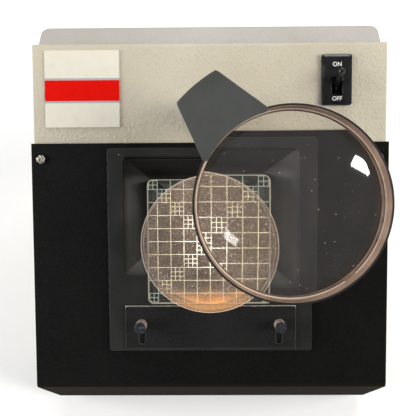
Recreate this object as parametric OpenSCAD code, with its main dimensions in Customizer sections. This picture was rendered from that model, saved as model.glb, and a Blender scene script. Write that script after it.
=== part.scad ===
// Dark-field colony counter: a sloping cabinet with a lit stage for a Petri dish,
// a ruled guide plate, and a magnifier that swings and focuses on one post.
// X runs right, Y runs back, Z runs up. The origin is on the table, under the middle.

/* [Cabinet] */
// Width across the side walls
case_w = 268; // [256:1:300]
// Depth from the front wall to the back wall
case_d = 230; // [228:1:250]
// Height of the front wall
front_h = 65; // [62:1:90]
// Slope of the working face above level
face_angle = 30; // [28:1:32]
// Thickness of the cabinet's sheet
case_t = 2; // [1.6:0.1:2.4]
// Outer radius of the cabinet's bends
bend_r = 3; // [2.6:0.2:5]
// Thickness of the base plate
base_t = 1.5; // [1:0.1:2.5]
// Running clearance between sheets that slide past each other on assembly
sheet_gap = 0.3; // [0.2:0.05:0.5]

/* [Feet] */
// Diameter of a rubber foot
foot_d = 22; // [18:1:28]
// Height of a rubber foot
foot_h = 8; // [6:0.5:14]
// Distance from the cabinet's walls to a foot's centre
foot_inset = 24; // [20:1:34]
// Diameter of the screws that hold feet, base and cabinet together
foot_screw_d = 4; // [3:0.5:5]

/* [Rear cover] */
// Depth of the rear cover
cover_d = 26; // [22:1:40]
// Drop from the cabinet's top edge to the rear cover's top
cover_drop = 12; // [8:1:20]
// Radius of the rear cover's upright corners
cover_r = 6; // [4:0.5:10]
// Thickness of the rear cover's sheet
cover_t = 1.5; // [1.2:0.1:2]
// Diameter of the rear cover's screws
cover_screw_d = 4; // [3:0.5:5]
// Length of a vent slot
vent_l = 58; // [40:1:70]
// Width of a vent slot
vent_w = 3; // [2:0.5:5]
// Spacing of the vent slots
vent_pitch = 9; // [8:0.5:14]
// Number of vent slots in a column
vent_count = 9; // [4:1:10]
// Bore of the bush for the mains cord
cord_bore_d = 8; // [6:0.5:10]
// Diameter of the bush's outer flange
cord_flange_d = 22; // [20:1:26]
// Thickness of the bush's outer flange
cord_flange_t = 2.6; // [2.4:0.1:4]
// Length of the bush inside the cover
cord_bush_l = 6; // [4:0.5:12]

/* [Front panel] */
// Thickness of the black front panel
panel_t = 1.5; // [1.2:0.1:2]
// Length of panel above the stage
panel_margin = 4; // [3:0.5:8]
// Depth of the panel's side returns
return_d = 15; // [10:1:24]
// Height of the panel's lower edge above the cabinet's lower edge
panel_foot = 2; // [1:0.5:6]
// Head diameter of the panel's screws
panel_head_d = 6.4; // [6:0.2:8]
// Head height of the panel's screws
panel_head_h = 2; // [1.6:0.1:2.4]
// Distance from the panel's side edge to a face screw
panel_screw_edge = 7.8; // [5:0.1:10]
// Distance from the panel's top edge to its screws
panel_screw_top = 12; // [8:1:16]

/* [Stage] */
// Length of the stage frame up the face
stage_l = 155.2; // [150:0.2:156]
// Distance from the face's bottom edge to the stage frame
stage_u = 28.8; // [28:0.2:34]
// Thickness of the stage frame above the panel
stage_t = 3.2; // [2.6:0.1:4.5]
// Depth of the stage's body below the face
stage_body_d = 2; // [1.6:0.1:4]
// Width of the stage frame's lip on the panel
stage_lip = 8.5; // [8:0.5:10]
// Width of the finger recess
recess_w = 132; // [128:1:136]
// Width of the stage frame beside the finger recess
stage_side = 11.4; // [11:0.2:18]
// Length of the finger recess
recess_l = 91; // [88:1:96]
// Width of the frame above the finger recess
recess_top = 6; // [6:0.5:9]
// Corner radius of the finger recess
recess_r = 5; // [3:0.5:8]
// Depth of the recess below the stage's body
recess_d = 20; // [16:1:24]
// Wall thickness of the stage moulding
stage_wall = 2.5; // [2:0.1:3.5]

/* [Guide plate] */
// Side of the square glass guide plate
glass_s = 95; // [90:1:98]
// Thickness of the guide plate
glass_t = 4; // [3:0.5:5]
// Corner radius of the guide plate
glass_r = 4.5; // [3:0.5:6]
// Spacing of the ruled lines
rule_pitch = 10; // [9:0.5:10]
// Number of ruled lines each way
rule_lines = 9; // [7:2:9]
// Width of a ruled line
rule_w = 0.5; // [0.3:0.05:0.7]
// Depth of a ruled line
rule_d = 0.3; // [0.2:0.05:0.5]

/* [Dish rest] */
// Width of the dish rest
rest_w = 129.8; // [120:0.2:134]
// Length of the dish rest up the face
rest_l = 33.2; // [30:0.2:34]
// Thickness of the dish rest
rest_t = 1.9; // [1.5:0.1:3]
// Distance from the stage's bottom edge to the rest
rest_gap = 2.1; // [2:0.1:4]
// Distance from the rest's side edge to its slot's centre
rest_slot_edge = 12.7; // [10:0.1:16]
// Length of a slot in the rest
rest_slot_l = 17.7; // [14:0.5:20]
// Distance from the rest's top edge to its slots
rest_slot_top = 11.7; // [8:0.5:12]
// Diameter of the thumbscrews' thread
thumb_d = 4; // [3:0.5:5]
// Diameter of the thumbscrews' head
thumb_head_d = 8.4; // [8:0.2:12]
// Height of the thumbscrews' head
thumb_head_h = 9; // [8:0.5:14]

/* [Petri dish] */
// Outer diameter of the dish's lid
lid_d = 100.4; // [98:0.2:102]
// Outer diameter of the dish's base
dish_d = 96; // [90:0.5:97]
// Height of the closed dish
dish_h = 17; // [14:0.5:20]
// Height of the lid's skirt
lid_h = 12; // [8:0.5:13]
// Wall thickness of the dish and its lid
dish_t = 1.4; // [1:0.1:1.8]
// Depth of the agar
agar_h = 4; // [3:0.5:6]

/* [Magnifier] */
// Diameter of the lens
lens_d = 126; // [120:1:128]
// Radius of the lens's two faces
lens_r = 270; // [260:5:400]
// Thickness of the lens at its edge
lens_edge = 2; // [1.5:0.1:3]
// Wall thickness of the lens ring
ring_t = 1.8; // [1.5:0.1:2.5]
// Height of the lens ring
ring_h = 21; // [18:1:28]
// Height of the lens ring above the face
ring_w0 = 38; // [36:1:50]
// Distance from the ring's underside to the lens's edge
lens_seat = 8.5; // [7:0.5:14]
// Distance from the ring's outside to the post's axis
arm_reach = 20; // [17:0.2:24]
// Swing of the magnifier at rest, from straight down the face
swing_angle = 39.3; // [-60:0.1:45]
// Width of the arm's cover where it meets the ring
cover_tip_w = 51.5; // [48:0.5:58]
// Width of the arm's cover at its outer end
cover_end_w = 32; // [31:0.5:38]
// Distance from the post's axis to the cover's outer end
cover_end = 14; // [14:0.5:20]
// Thickness of the arm's cover
arm_cover_t = 2; // [1.6:0.1:2.6]
// Depth of the arm cover's skirt
skirt_d = 14; // [8:0.5:15]

/* [Focus post] */
// Distance from the panel's top edge to the post's axis
post_up = 20.5; // [18:0.5:24]
// Diameter of the lens post
post_d = 12; // [10:0.5:13]
// Outer diameter of the focus sleeve
sleeve_d = 18; // [16:0.5:19]
// Outer diameter of the bushing in the cabinet
bushing_d = 24; // [22:0.5:26]
// Length of the bushing below the face
bushing_l = 30; // [24:1:34]
// Radial running clearance of the post and the sleeve
run_gap = 0.05; // [0.03:0.01:0.08]
// Travel of the magnifier above its rest height
focus_up = 15; // [10:1:18]
// Travel of the magnifier below its rest height
focus_down = 8; // [5:1:10]

/* [Switch] */
// Width of the switch's plate
switch_w = 22.8; // [21:0.2:26]
// Length of the switch's plate
switch_l = 38; // [36:0.5:42]
// Thickness of the switch's plate
switch_t = 3.5; // [3:0.1:4]
// Distance from the cabinet's right edge to the switch's plate
switch_edge = 26.8; // [20:0.5:32]
// Distance from the cabinet's top edge to the switch's plate
switch_top = 12.1; // [8:0.5:16]
// Angle of the lever either side of upright
lever_angle = 25; // [18:1:28]
// Length of the lever above its pivot
lever_l = 22; // [18:0.5:24]

/* [Name plate] */
// Width of the bare name plate
name_w = 56.5; // [40:0.5:62]
// Height of the bare name plate
name_l = 57.8; // [40:0.5:58]
// Thickness of the name plate
name_t = 1; // [0.6:0.1:1.5]
// Distance from the cabinet's left edge to the name plate
name_edge = 9.3; // [6:0.1:14]
// Distance from the cabinet's top edge to the name plate
name_top = 7.7; // [6:0.1:10]

/* [Lamp] */
// Diameter of the lamp's glass
bulb_d = 50; // [40:1:52]
// Length of the lamp's glass
bulb_l = 70; // [64:1:74]
// Diameter of the lamp's screw base
lamp_base_d = 26; // [24:0.5:27]
// Width of the reflector box
reflector_w = 152; // [148:1:160]
// Depth of the reflector box
reflector_d = 58; // [56:1:62]
// Thickness of the reflector's sheet
reflector_t = 1; // [0.8:0.1:1.5]
// Diameter of the dark-field stop
stop_d = 68; // [60:1:74]

/* [Hidden] */

$fn = 96;
ring_fn = 240; // segments of the large rings
lens_fn = 480; // segments of the lens's shallow faces
past = 1; // how far a cut runs past a face
fit = 0.3; // gap round a part that drops into an opening
hole_gap = 0.3; // extra radius of a clearance hole

// Cabinet
case_h = front_h + case_d * tan(face_angle);
face_len = case_d / cos(face_angle);
panel_proud = sheet_gap + panel_t;
total_d = panel_proud + case_d + cover_d + cord_flange_t;
front_y = panel_proud - total_d / 2;
back_window_edge = 22; // frame left round the window in the cabinet's back wall
tab_t = 2; // thickness of the tabs that take the foot screws
tab_l = 22; // length of those tabs
foot_x = case_w / 2 - foot_inset;
foot_ys = [foot_inset, case_d - foot_inset];
foot_head_d = foot_screw_d * 2; // head of a foot screw
foot_head_h = 2.4; // height of that head
foot_recess = 4; // depth of the head's recess in the foot
base_vent_count = 7; // slots in the base plate

// Rear cover
cover_h = case_h - cover_drop;
standoff_inset = 17; // distance from the cover's edges to a standoff
standoff_d = 9; // size of a standoff across its corners
cover_screw_grip = 10; // thread engaged in a standoff
cover_head_h = 2.2; // height of the cover's screw heads
vent_column = case_w / 5; // distance of a vent column from the middle
cord_x = -case_w / 3; // place of the mains cord's bush
cord_z = 24;

// Working face
panel_u = stage_u + stage_l + panel_margin;
panel_screw_d = 3.5; // thread of the panel's screws
side_head_h = 1.2; // height of the flat heads on the side returns
side_screw_w = -7; // depth of the side screws below the face
side_screw_top = 5; // distance from the panel's top edge to the side screws
screw_grip = 6; // thread length of the panel's screws
slot_cut_w = 1; // width of a screwdriver slot
slot_cut_d = 1; // depth of a screwdriver slot
slot_turn = -50; // angle of the slots in the face's screws

// Stage
stage_w = recess_w + 2 * stage_side;
stage_mid = stage_u + stage_l / 2;
stage_top = panel_proud + stage_t;
open_w = stage_w - 2 * stage_lip;
open_l = stage_l - 2 * stage_lip;
stage_r = 2; // corner radius of the stage frame
stud_d = 3; // studs that hold the stage down
stud_edge = 3.8; // distance from the frame's side edge to a stud
stud_end = 14; // distance from the frame's ends to a stud
stud_l = 8; // length of a stud below the panel
nut_s = 5.5; // size of a stud's nut across its flats
nut_h = 2.4; // height of that nut
recess_u1 = stage_u + stage_l - recess_top;
recess_u0 = recess_u1 - recess_l;
recess_lip = 1.2; // upright edge at the recess's rim

// Dish rest and guide plate
rest_u = stage_u + rest_gap;
rest_u1 = rest_u + rest_l;
rest_seat = 0.1; // gap under the sliding rest
plate_gap = 1.1; // gap between the rest and the guide plate
glass_mid = rest_u1 + plate_gap + glass_s / 2;
glass_w0 = stage_top - glass_t;
well_out = glass_s - 1; // outside of the light well
well_in = well_out - 2 * stage_wall;
well_w0 = -stage_body_d - recess_d;
flange_w = recess_w - 8; // flange under the light well
flange_l = glass_s + 12;
flange_screw_in = 5; // distance from the flange's edges to a screw
slot_gap = 0.2; // gap each side of a thumbscrew in its slot
rest_slot_w = thumb_d + 2 * slot_gap;
rest_slot_x = rest_w / 2 - rest_slot_edge;
rest_slot_u = rest_u1 - rest_slot_top - rest_slot_l;
thumb_u = rest_u1 - rest_slot_top - rest_slot_w / 2;
thumb_w0 = stage_top + rest_seat + rest_t;
thumb_neck = 2; // height of the shoulder under the head
thread_gap = 0.05; // radial gap of a thumbscrew in its thread
rule_margin = 0.5; // bare edge round the ruling

// Petri dish
dish_gap = 0.8; // gap between the dish and the rest's edge
dish_seat = 0.05; // gap under the dish
dish_mid = rest_u1 + dish_gap + dish_d / 2;
agar_gap = 0.1; // gap between agar and dish

// Magnifier
lens_seat_w = ring_w0 + lens_seat;
lens_fit = 0.15; // radial gap round the lens
ring_in = lens_d / 2 + lens_fit;
ring_out = ring_in + ring_t;
ledge_w = 1.6; // width of the ledge under the lens
lens_w = lens_seat_w + lens_rise(ring_in - ledge_w); // underside of the lens's edge
retainer_t = 1.4; // thickness of the snap ring over the lens
retainer_split = 9; // opening of the snap ring
swing_r = ring_out + arm_reach;
pivot_u = panel_u + post_up;
hub_gap = 2; // from the hub to the outer end of the arm's cover
hub_d = 2 * (cover_end - hub_gap); // boss round the post
hub_w0 = ring_w0 + 4;
hub_top_gap = 3; // height between the hub's top and the ring's top
hub_w1 = ring_w0 + ring_h - hub_top_gap;
arm_w1 = ring_w0 + ring_h; // underside of the arm's cover
arm_screw_d = 3; // screws under the arm
arm_screw_x = 8.5;
arm_screw_back = 11; // distance from the post's axis towards the ring
arm_head_h = 2; // height of the arm screws' heads

// Focus post
post_in_hub = 12; // length of post pressed into the hub
collar_d = sleeve_d + 6; // collar that stops the sleeve on the bushing
collar_h = 4;
bushing_flange_d = bushing_d + 6;
bushing_flange_t = 3;
bushing_nut_h = 5;
bushing_nut_s = bushing_d + 8;
stop_h = 3; // height of the ring that stops the sleeve's rise
stop_w1 = -bushing_l - focus_up;
sleeve_tail = 2; // length of sleeve under that ring
sleeve_w0 = stop_w1 - stop_h - sleeve_tail;
washer_t = 0.8; // thrust washer under the sleeve
washer_d = sleeve_d + 3;
clip_t = 1.2; // clip that holds the post in the sleeve
clip_groove = 0.8; // depth of the clip's groove
post_tail = 2; // length of post past the clip
friction_d = 4; // set screw that bears on the sleeve
friction_out = 3; // length of that screw outside the bushing
friction_w = -22; // depth of that screw below the face

// Switch
switch_x = case_w / 2 - switch_edge - switch_w / 2;
switch_mid = face_len - switch_top - switch_l / 2;
lever_u = switch_mid - 5.2; // pivot of the lever, below the plate's middle
lever_pin_d = 2.4;
lever_pin_gap = 0.3; // depth of the lever's pin below the face
lever_w = -lever_pin_d / 2 - lever_pin_gap;
lever_slot_w = 8;
lever_slot_l = 14;
switch_body_w = 19;
switch_body_l = 27;
switch_body_d = 22;
switch_neck_w = switch_body_w - 3; // opening in the face for the switch
switch_neck_l = switch_body_l - 3;
switch_r = 2; // corner radius of the switch's plate
switch_bevel_w = 2.3; // width of the bevel round the plate
switch_bevel_h = 1.4; // height of that bevel
lever_ball_d = 6.4;

// Lamp
lamp_w = well_w0 - stage_wall - reflector_d / 2; // axis of the lamp
socket_d = 36;
socket_l = 34;
socket_grip = 14; // length of the lamp's base inside the socket
reflector_l = flange_l + 6;
stop_t = 0.8; // thickness of the dark-field stop
spoke_w = 5;
cord_wall = 3; // wall of the bush round the cord
flange_screw_d = 3; // screws under the light well
reflector_w1 = well_w0 - stage_wall - stop_t;
reflector_w0 = reflector_w1 - reflector_d;
lead_d = 6; // hole for the lamp's leads
lamp_base_l = 25;
bulb_cone = 15; // height on the glass's ball where its neck starts
socket_z = bulb_l + lamp_base_l - socket_grip; // mouth of the socket, from the glass's tip
lamp_x0 = reflector_w / 2 - reflector_t - socket_z - socket_l;
terminal_screw_d = 3;
terminal_head_h = 2;
terminal_l = 44; // length of the terminal block
terminal_foot_d = 18; // depth of its foot
terminal_foot_t = 6;
terminal_top_d = 12; // depth of its upper part
terminal_top_h = 8;
terminal_hole_d = 4; // holes for the leads
terminal_back = 30; // distance from the cabinet's back wall to the block
terminal_x = case_w / 6;
lever_pin_l = 11; // length of the lever's pin
lever_d = 4.4;
collar_w0 = bushing_flange_t + focus_down;
clip_w0 = sleeve_w0 - run_gap - washer_t - clip_t;
cover_wall = 1.6; // wall of the arm cover's skirt
cover_corner_r = 4.5; // corners at the arm cover's outer end
cover_tip_r = 2.2; // corners of the arm cover over the ring
cover_in = ring_in - 1.2; // radius of the arm cover's edge over the lens
cover_steps = 14; // chords on each half of that edge
cover_arc = 0.7; // share of that edge clear of its round corners

// A rectangle with round corners, about its middle
module rounded_rect(w, l, r) {
    square([w - 2 * r, l], center = true);
    square([w, l - 2 * r], center = true);
    for (x = [-1, 1], y = [-1, 1])
        translate([x * (w / 2 - r), y * (l / 2 - r)])
            circle(r);
}

// A slot with round ends along Y, about its middle
module slot_outline(w, l) {
    square([w, l - w], center = true);
    for (y = [-1, 1])
        translate([0, y * (l - w) / 2])
            circle(w / 2);
}

// An extrusion along X of a side view drawn in Y and Z
module across(w) {
    rotate([90, 0, 90])
        translate([0, 0, -w / 2])
            linear_extrude(w)
                children();
}

// An extrusion along Z between two heights
module between(z0, z1) {
    translate([0, 0, z0])
        linear_extrude(z1 - z0)
            children();
}

// A round bar along Z between two heights
module bar(d, z0, z1) {
    translate([0, 0, z0])
        cylinder(d = d, h = z1 - z0);
}

// A hexagonal bar along Z, s across its flats
module hex_bar(s, z0, z1) {
    translate([0, 0, z0])
        cylinder(d = s / cos(30), h = z1 - z0, $fn = 6);
}

// A slotted screw along Z with its head on z = 0
module slotted_screw(head_d, head_h, d, l) {
    difference() {
        union() {
            bar(head_d, 0, head_h);
            bar(d, -l, 0);
        }
        translate([-head_d, -slot_cut_w / 2, head_h - slot_cut_d])
            cube([2 * head_d, slot_cut_w, slot_cut_d + past]);
    }
}

// Frame of the cabinet: Y from the front wall, Z from the lower edge
module in_case() {
    translate([0, front_y, foot_h])
        children();
}

// Frame of the working face: Y up the face from its lower edge, Z out of it
module on_face() {
    translate([0, front_y, foot_h + front_h])
        rotate([face_angle, 0, 0])
            children();
}

// Frame of the magnifier: the post's axis is Z, and the lens lies down -Y
module on_arm() {
    on_face()
        translate([0, pivot_u, 0])
            rotate([0, 0, swing_angle])
                children();
}

// Corner points rounded to arcs, each corner with its own radius
function round_corners(pts, radii, steps = 8) = [
    for (i = [0 : len(pts) - 1])
    let (
        p = pts[i],
        a = pts[(i + len(pts) - 1) % len(pts)],
        b = pts[(i + 1) % len(pts)],
        ua = (a - p) / norm(a - p),
        ub = (b - p) / norm(b - p),
        half = acos(ua * ub) / 2,
        c = p + (ua + ub) / norm(ua + ub) * radii[i] / sin(half),
        s = p + ua * radii[i] / tan(half) - c,
        e = p + ub * radii[i] / tan(half) - c,
        a0 = atan2(s.y, s.x),
        turn = (atan2(e.y, e.x) - a0 + 540) % 360 - 180
    )
    each radii[i] == 0 ? [p] : [
        for (k = [0 : steps])
        c + radii[i] * [cos(a0 + turn * k / steps), sin(a0 + turn * k / steps)]
    ]
];

// Side view of the face: the height at depth y of a sheet w above the face
function face_height(y, w) = front_h + y * tan(face_angle) + w / cos(face_angle);

// Side view of a point u up the face and w out of it
function face_point(u, w) = [
    u * cos(face_angle) - w * sin(face_angle),
    front_h + u * sin(face_angle) + w * cos(face_angle)
];

// Side view of the corner between the front wall and the face, both moved out by w
function face_corner(w) = [-w, face_height(-w, w)];

// Side view of the cabinet's outside
module case_outline() {
    polygon(round_corners(
        [[0, 0], [0, front_h], [case_d, case_h], [case_d, 0]],
        [0, bend_r, bend_r, 0]
    ));
}

// Side view of the cabinet's inside, open below
module case_inside() {
    inner_r = bend_r - case_t;
    back = case_d - case_t;
    polygon(round_corners(
        [[case_t, -past], face_corner(-case_t), [back, face_height(back, -case_t)], [back, -past]],
        [0, inner_r, inner_r, 0]
    ));
}

// Opening in the sheets under the stage, e wider all round
module stage_opening(e) {
    translate([0, stage_mid])
        rounded_rect(open_w + 2 * e, open_l + 2 * e, stage_r);
}

// Places of the four feet, in the cabinet's frame
module at_feet() {
    for (x = [-foot_x, foot_x], y = foot_ys)
        translate([x, y, 0])
            children();
}

// Places of the rear cover's standoffs, with Z pointing back
module at_standoffs() {
    for (x = [-1, 1], z = [standoff_inset, cover_h - standoff_inset])
        translate([x * (case_w / 2 - standoff_inset), case_d, z])
            rotate([-90, 0, 0])
                children();
}

// Places of the two screws on the panel's face
module at_face_screws() {
    for (x = [-1, 1])
        translate([x * (case_w / 2 + panel_proud - panel_screw_edge), panel_u - panel_screw_top, 0])
            children();
}

// Places of the two screws in the panel's side returns, with Z pointing out
module at_side_screws() {
    for (x = [-1, 1])
        translate([x * case_w / 2, panel_u - side_screw_top, side_screw_w])
            rotate([0, x * 90, 0])
                children();
}

// Places of the studs under the stage
module at_studs() {
    for (x = [-1, 1], y = [-1, 1])
        translate([x * (stage_w / 2 - stud_edge), stage_mid + y * (stage_l / 2 - stud_end), 0])
            children();
}

// Places of the screws that hold the reflector and the dark-field stop
module at_flange_screws() {
    for (x = [-1, 1], y = [-1, 1])
        translate([
            x * (flange_w / 2 - flange_screw_in),
            glass_mid + y * (flange_l / 2 - flange_screw_in),
            0
        ])
            children();
}

// A tapered block between a rectangle at w1 and a smaller one at w0
module funnel(half1, low1, high1, w1, half0, low0, high0, w0) {
    intersection() {
        translate([0, high1 + past, 0])
            rotate([90, 0, 0])
                linear_extrude(high1 - low1 + 2 * past)
                    polygon([[-half1, w1], [half1, w1], [half0, w0], [-half0, w0]]);
        across(2 * half1 + 2 * past)
            polygon([[low1, w1], [high1, w1], [high0, w0], [low0, w0]]);
    }
}

// Bent sheet housing with a sloping face, open below
module cabinet() {
    color("#c6beaa")
    difference() {
        in_case() {
            difference() {
                across(case_w)
                    case_outline();
                across(case_w - 2 * case_t)
                    case_inside();
                translate([0, case_d, cover_h / 2])
                    rotate([90, 0, 0])
                        between(-past, case_t + past)
                            rounded_rect(
                                case_w - 2 * back_window_edge - 2 * standoff_inset,
                                cover_h - 2 * back_window_edge - 2 * standoff_inset,
                                back_window_edge / 2
                            );
            }
            difference() {
                for (x = [-1, 1], y = foot_ys)
                    translate([
                        x * (case_w / 2 - (foot_inset + tab_l / 2) / 2),
                        y,
                        base_t + tab_t / 2
                    ])
                        cube([foot_inset + tab_l / 2 - case_t, tab_l, tab_t], center = true);
                at_feet()
                    bar(foot_screw_d, 0, base_t + tab_t + past);
            }
        }
        on_face() {
            between(-bend_r - past, past)
                stage_opening(0);
            at_face_screws()
                bar(panel_screw_d, -bend_r - past, past);
            at_side_screws()
                bar(panel_screw_d, -bend_r - past, past);
            at_studs()
                bar(stud_d + 2 * hole_gap, -bend_r - past, past);
            translate([0, pivot_u, 0])
                bar(bushing_d, -bend_r - past, past);
            translate([switch_x, switch_mid, 0])
                between(-bend_r - past, past)
                    square([switch_neck_w, switch_neck_l], center = true);
        }
    }
}

// Side view of a band between w0 and w1 outside the cabinet, longer by e at its ends
module panel_band(w0, w1, outer_r, e) {
    polygon(round_corners(
        [
            [-w1, panel_foot - e], face_corner(w1), face_point(panel_u + e, w1),
            face_point(panel_u + e, w0), face_corner(w0), [-w0, panel_foot - e]
        ],
        [0, outer_r, 0, 0, 0, 0]
    ));
}

// Black sheet over the front wall and the lower face, with side returns
module front_panel() {
    color("#1b1b1d")
    difference() {
        in_case()
            difference() {
                across(case_w + 2 * panel_proud)
                    panel_band(-return_d, panel_proud, bend_r + panel_proud, 0);
                across(case_w + 2 * sheet_gap)
                    panel_band(-return_d - past, sheet_gap, bend_r + sheet_gap, past);
            }
        on_face() {
            between(-past, panel_proud + past)
                stage_opening(0);
            at_face_screws()
                bar(panel_screw_d + 2 * hole_gap, -past, panel_proud + past);
            at_side_screws()
                bar(panel_screw_d + 2 * hole_gap, -past, panel_proud + past);
            at_studs()
                bar(stud_d + 2 * hole_gap, -past, panel_proud + past);
        }
    }
}

// Sheet that closes the cabinet below, with cooling slots
module base_plate() {
    inside = case_t + sheet_gap;
    color("#3a3a3c")
    in_case()
        difference() {
            translate([inside - case_w / 2, inside, 0])
                cube([case_w - 2 * inside, case_d - 2 * inside, base_t]);
            at_feet()
                bar(foot_screw_d + 2 * hole_gap, -past, base_t + past);
            at_terminal_screws()
                bar(terminal_screw_d, -past, base_t + past);
            for (x = [-vent_column, vent_column], k = [0 : base_vent_count - 1])
                translate([x, case_d / 2 + (k - (base_vent_count - 1) / 2) * vent_pitch, 0])
                    rotate([0, 0, 90])
                        between(-past, base_t + past)
                            slot_outline(vent_w, vent_l);
        }
}

// Shallow pan behind the cabinet, with two columns of vents
module rear_cover() {
    color("#b6b2b0")
    in_case()
        difference() {
            translate([0, case_d, 0])
                between(0, cover_h)
                    cover_plan(0);
            translate([0, case_d - past, 0])
                between(cover_t, cover_h - cover_t)
                    cover_plan(cover_t);
            at_standoffs()
                bar(cover_screw_d + 2 * hole_gap, 0, cover_d + past);
            for (x = [-vent_column, vent_column], k = [0 : vent_count - 1])
                translate([x, case_d, cover_h / 2 + (k - (vent_count - 1) / 2) * vent_pitch])
                    rotate([-90, 0, 0])
                        rotate([0, 0, 90])
                            between(past, cover_d + past)
                                slot_outline(vent_w, vent_l);
            translate([cord_x, case_d, cord_z])
                rotate([-90, 0, 0])
                    bar(cord_bore_d + 2 * cord_wall, past, cover_d + past);
        }
}

// Plan of the rear cover, or of its inside t within it
module cover_plan(t) {
    w = case_w - 2 * t;
    d = t == 0 ? cover_d : cover_d + past - t;
    r = cover_r - t;
    translate([-w / 2, 0])
        square([w, d - r]);
    translate([r - w / 2, 0])
        square([w - 2 * r, d]);
    for (x = [-1, 1])
        translate([x * (w / 2 - r), d - r])
            circle(r);
}

// Four rubber feet, recessed for their screws
module feet() {
    color("#151515")
    in_case()
        at_feet()
            difference() {
                bar(foot_d, -foot_h, 0);
                bar(foot_screw_d, -foot_h - past, past);
                bar(foot_head_d + 2 * hole_gap, -foot_h - past, -foot_h + foot_recess);
            }
}

// Screws up through the feet and the base into the cabinet's tabs
module foot_screws() {
    color("#9a9b9d")
    in_case()
        at_feet()
            translate([0, 0, -foot_h + foot_recess])
                rotate([180, 0, 0])
                    slotted_screw(foot_head_d, foot_head_h, foot_screw_d,
                        foot_h - foot_recess + base_t + tab_t);
}

// Hexagonal standoffs between the cabinet's back wall and the rear cover
module cover_standoffs() {
    color("#b9b9b4")
    in_case()
        at_standoffs()
            difference() {
                hex_bar(standoff_d * cos(30), 0, cover_d - cover_t);
                bar(cover_screw_d, cover_d - cover_t - cover_screw_grip, cover_d);
            }
}

// Slotted screws through the rear cover into its standoffs
module rear_cover_screws() {
    color("#a9aaab")
    in_case()
        at_standoffs()
            translate([0, 0, cover_d])
                slotted_screw(cover_screw_d * 2, cover_head_h, cover_screw_d,
                    cover_t + cover_screw_grip);
}

// Insulating bush that the mains cord passes through
module cord_bush() {
    color("#161616")
    in_case()
        translate([cord_x, case_d + cover_d, cord_z])
            rotate([-90, 0, 0])
                difference() {
                    union() {
                        bar(cord_flange_d, 0, cord_flange_t);
                        bar(cord_bore_d + 2 * cord_wall, -cover_t - cord_bush_l, 0);
                        bar(cord_flange_d - 2, -cover_t - cord_bush_l, -cover_t);
                    }
                    bar(cord_bore_d, -cover_t - cord_bush_l - past, cord_flange_t + past);
                }
}

// Slotted screws that hold the front panel, two on its face and two on its sides
module panel_screws() {
    color("#a39c92")
    on_face() {
        at_face_screws()
            translate([0, 0, panel_proud])
                rotate([0, 0, slot_turn])
                    slotted_screw(panel_head_d, panel_head_h, panel_screw_d, panel_proud + screw_grip);
        at_side_screws()
            translate([0, 0, panel_proud])
                slotted_screw(panel_head_d, side_head_h, panel_screw_d, panel_proud + screw_grip);
    }
}

// Black moulding: the stage frame, the finger recess and the light well
module stage() {
    half = recess_w / 2;
    foot_half = well_out / 2 + past;
    slope_top = recess_u1 - (recess_w - well_out) / 2 + past;
    slope_low = recess_u0 + (recess_w - well_out) / 2 - past;
    color("#2b2b2b")
    on_face() {
        difference() {
            union() {
                translate([0, stage_mid])
                    between(panel_proud, stage_top)
                        rounded_rect(stage_w, stage_l, stage_r);
                between(-stage_body_d, panel_proud)
                    stage_opening(-fit);
                funnel(
                    half + stage_wall, recess_u0 - stage_wall, recess_u1 + stage_wall, -stage_body_d,
                    foot_half + stage_wall, slope_low - stage_wall, slope_top + stage_wall, well_w0
                );
                translate([0, glass_mid])
                    between(well_w0, -stage_body_d)
                        square(well_out, center = true);
                translate([0, glass_mid])
                    between(well_w0 - stage_wall, well_w0)
                        rounded_rect(flange_w, flange_l, stage_r);
            }
            difference() {
                union() {
                    translate([0, (recess_u0 + recess_u1) / 2])
                        between(stage_top - recess_lip, stage_top + past)
                            rounded_rect(recess_w, recess_l, recess_r);
                    intersection() {
                        funnel(
                            half, recess_u0, recess_u1, stage_top - recess_lip,
                            foot_half, slope_low, slope_top, well_w0
                        );
                        translate([0, (recess_u0 + recess_u1) / 2])
                            between(well_w0 - past, stage_top)
                                rounded_rect(recess_w, recess_l, recess_r);
                    }
                }
                translate([0, glass_mid])
                    between(well_w0 - past, glass_w0)
                        square(well_out, center = true);
            }
            translate([0, glass_mid])
                between(glass_w0, stage_top + past)
                    rounded_rect(glass_s + 2 * fit, glass_s + 2 * fit, glass_r + fit);
            translate([0, glass_mid])
                between(well_w0 - stage_wall - past, stage_top + past)
                    square(well_in, center = true);
            for (x = [-rest_slot_x, rest_slot_x])
                translate([x, thumb_u, 0])
                    bar(thumb_d + 2 * thread_gap, -stage_body_d - past, stage_top + past);
            at_flange_screws()
                bar(flange_screw_d, well_w0 - stage_wall - past, well_w0 + past);
        }
        at_studs()
            bar(stud_d, -stud_l, panel_proud);
    }
}

// Nuts on the stage's studs, under the cabinet's face
module stage_nuts() {
    color("#a8a8a4")
    on_face()
        at_studs()
            difference() {
                hex_bar(nut_s, -case_t - nut_h, -case_t);
                bar(stud_d, -case_t - nut_h - past, past);
            }
}

// Every ruled line: a square grid, with each cell on both diagonals cut in nine
module ruling_outline() {
    span = glass_s - 2 * rule_margin;
    reach = (rule_lines - 1) / 2;
    intersection() {
        rounded_rect(span, span, glass_r - rule_margin);
        union() {
            for (k = [-reach : reach]) {
                translate([k * rule_pitch, 0])
                    square([rule_w, span], center = true);
                translate([0, k * rule_pitch])
                    square([span, rule_w], center = true);
            }
            for (k = [-reach - 0.5 : reach + 0.5], side = [-1, 1], third = [-1, 1])
                translate([k * rule_pitch, side * k * rule_pitch]) {
                    translate([third * rule_pitch / 6, 0])
                        square([rule_w, rule_pitch], center = true);
                    translate([0, third * rule_pitch / 6])
                        square([rule_pitch, rule_w], center = true);
                }
        }
    }
}

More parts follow.
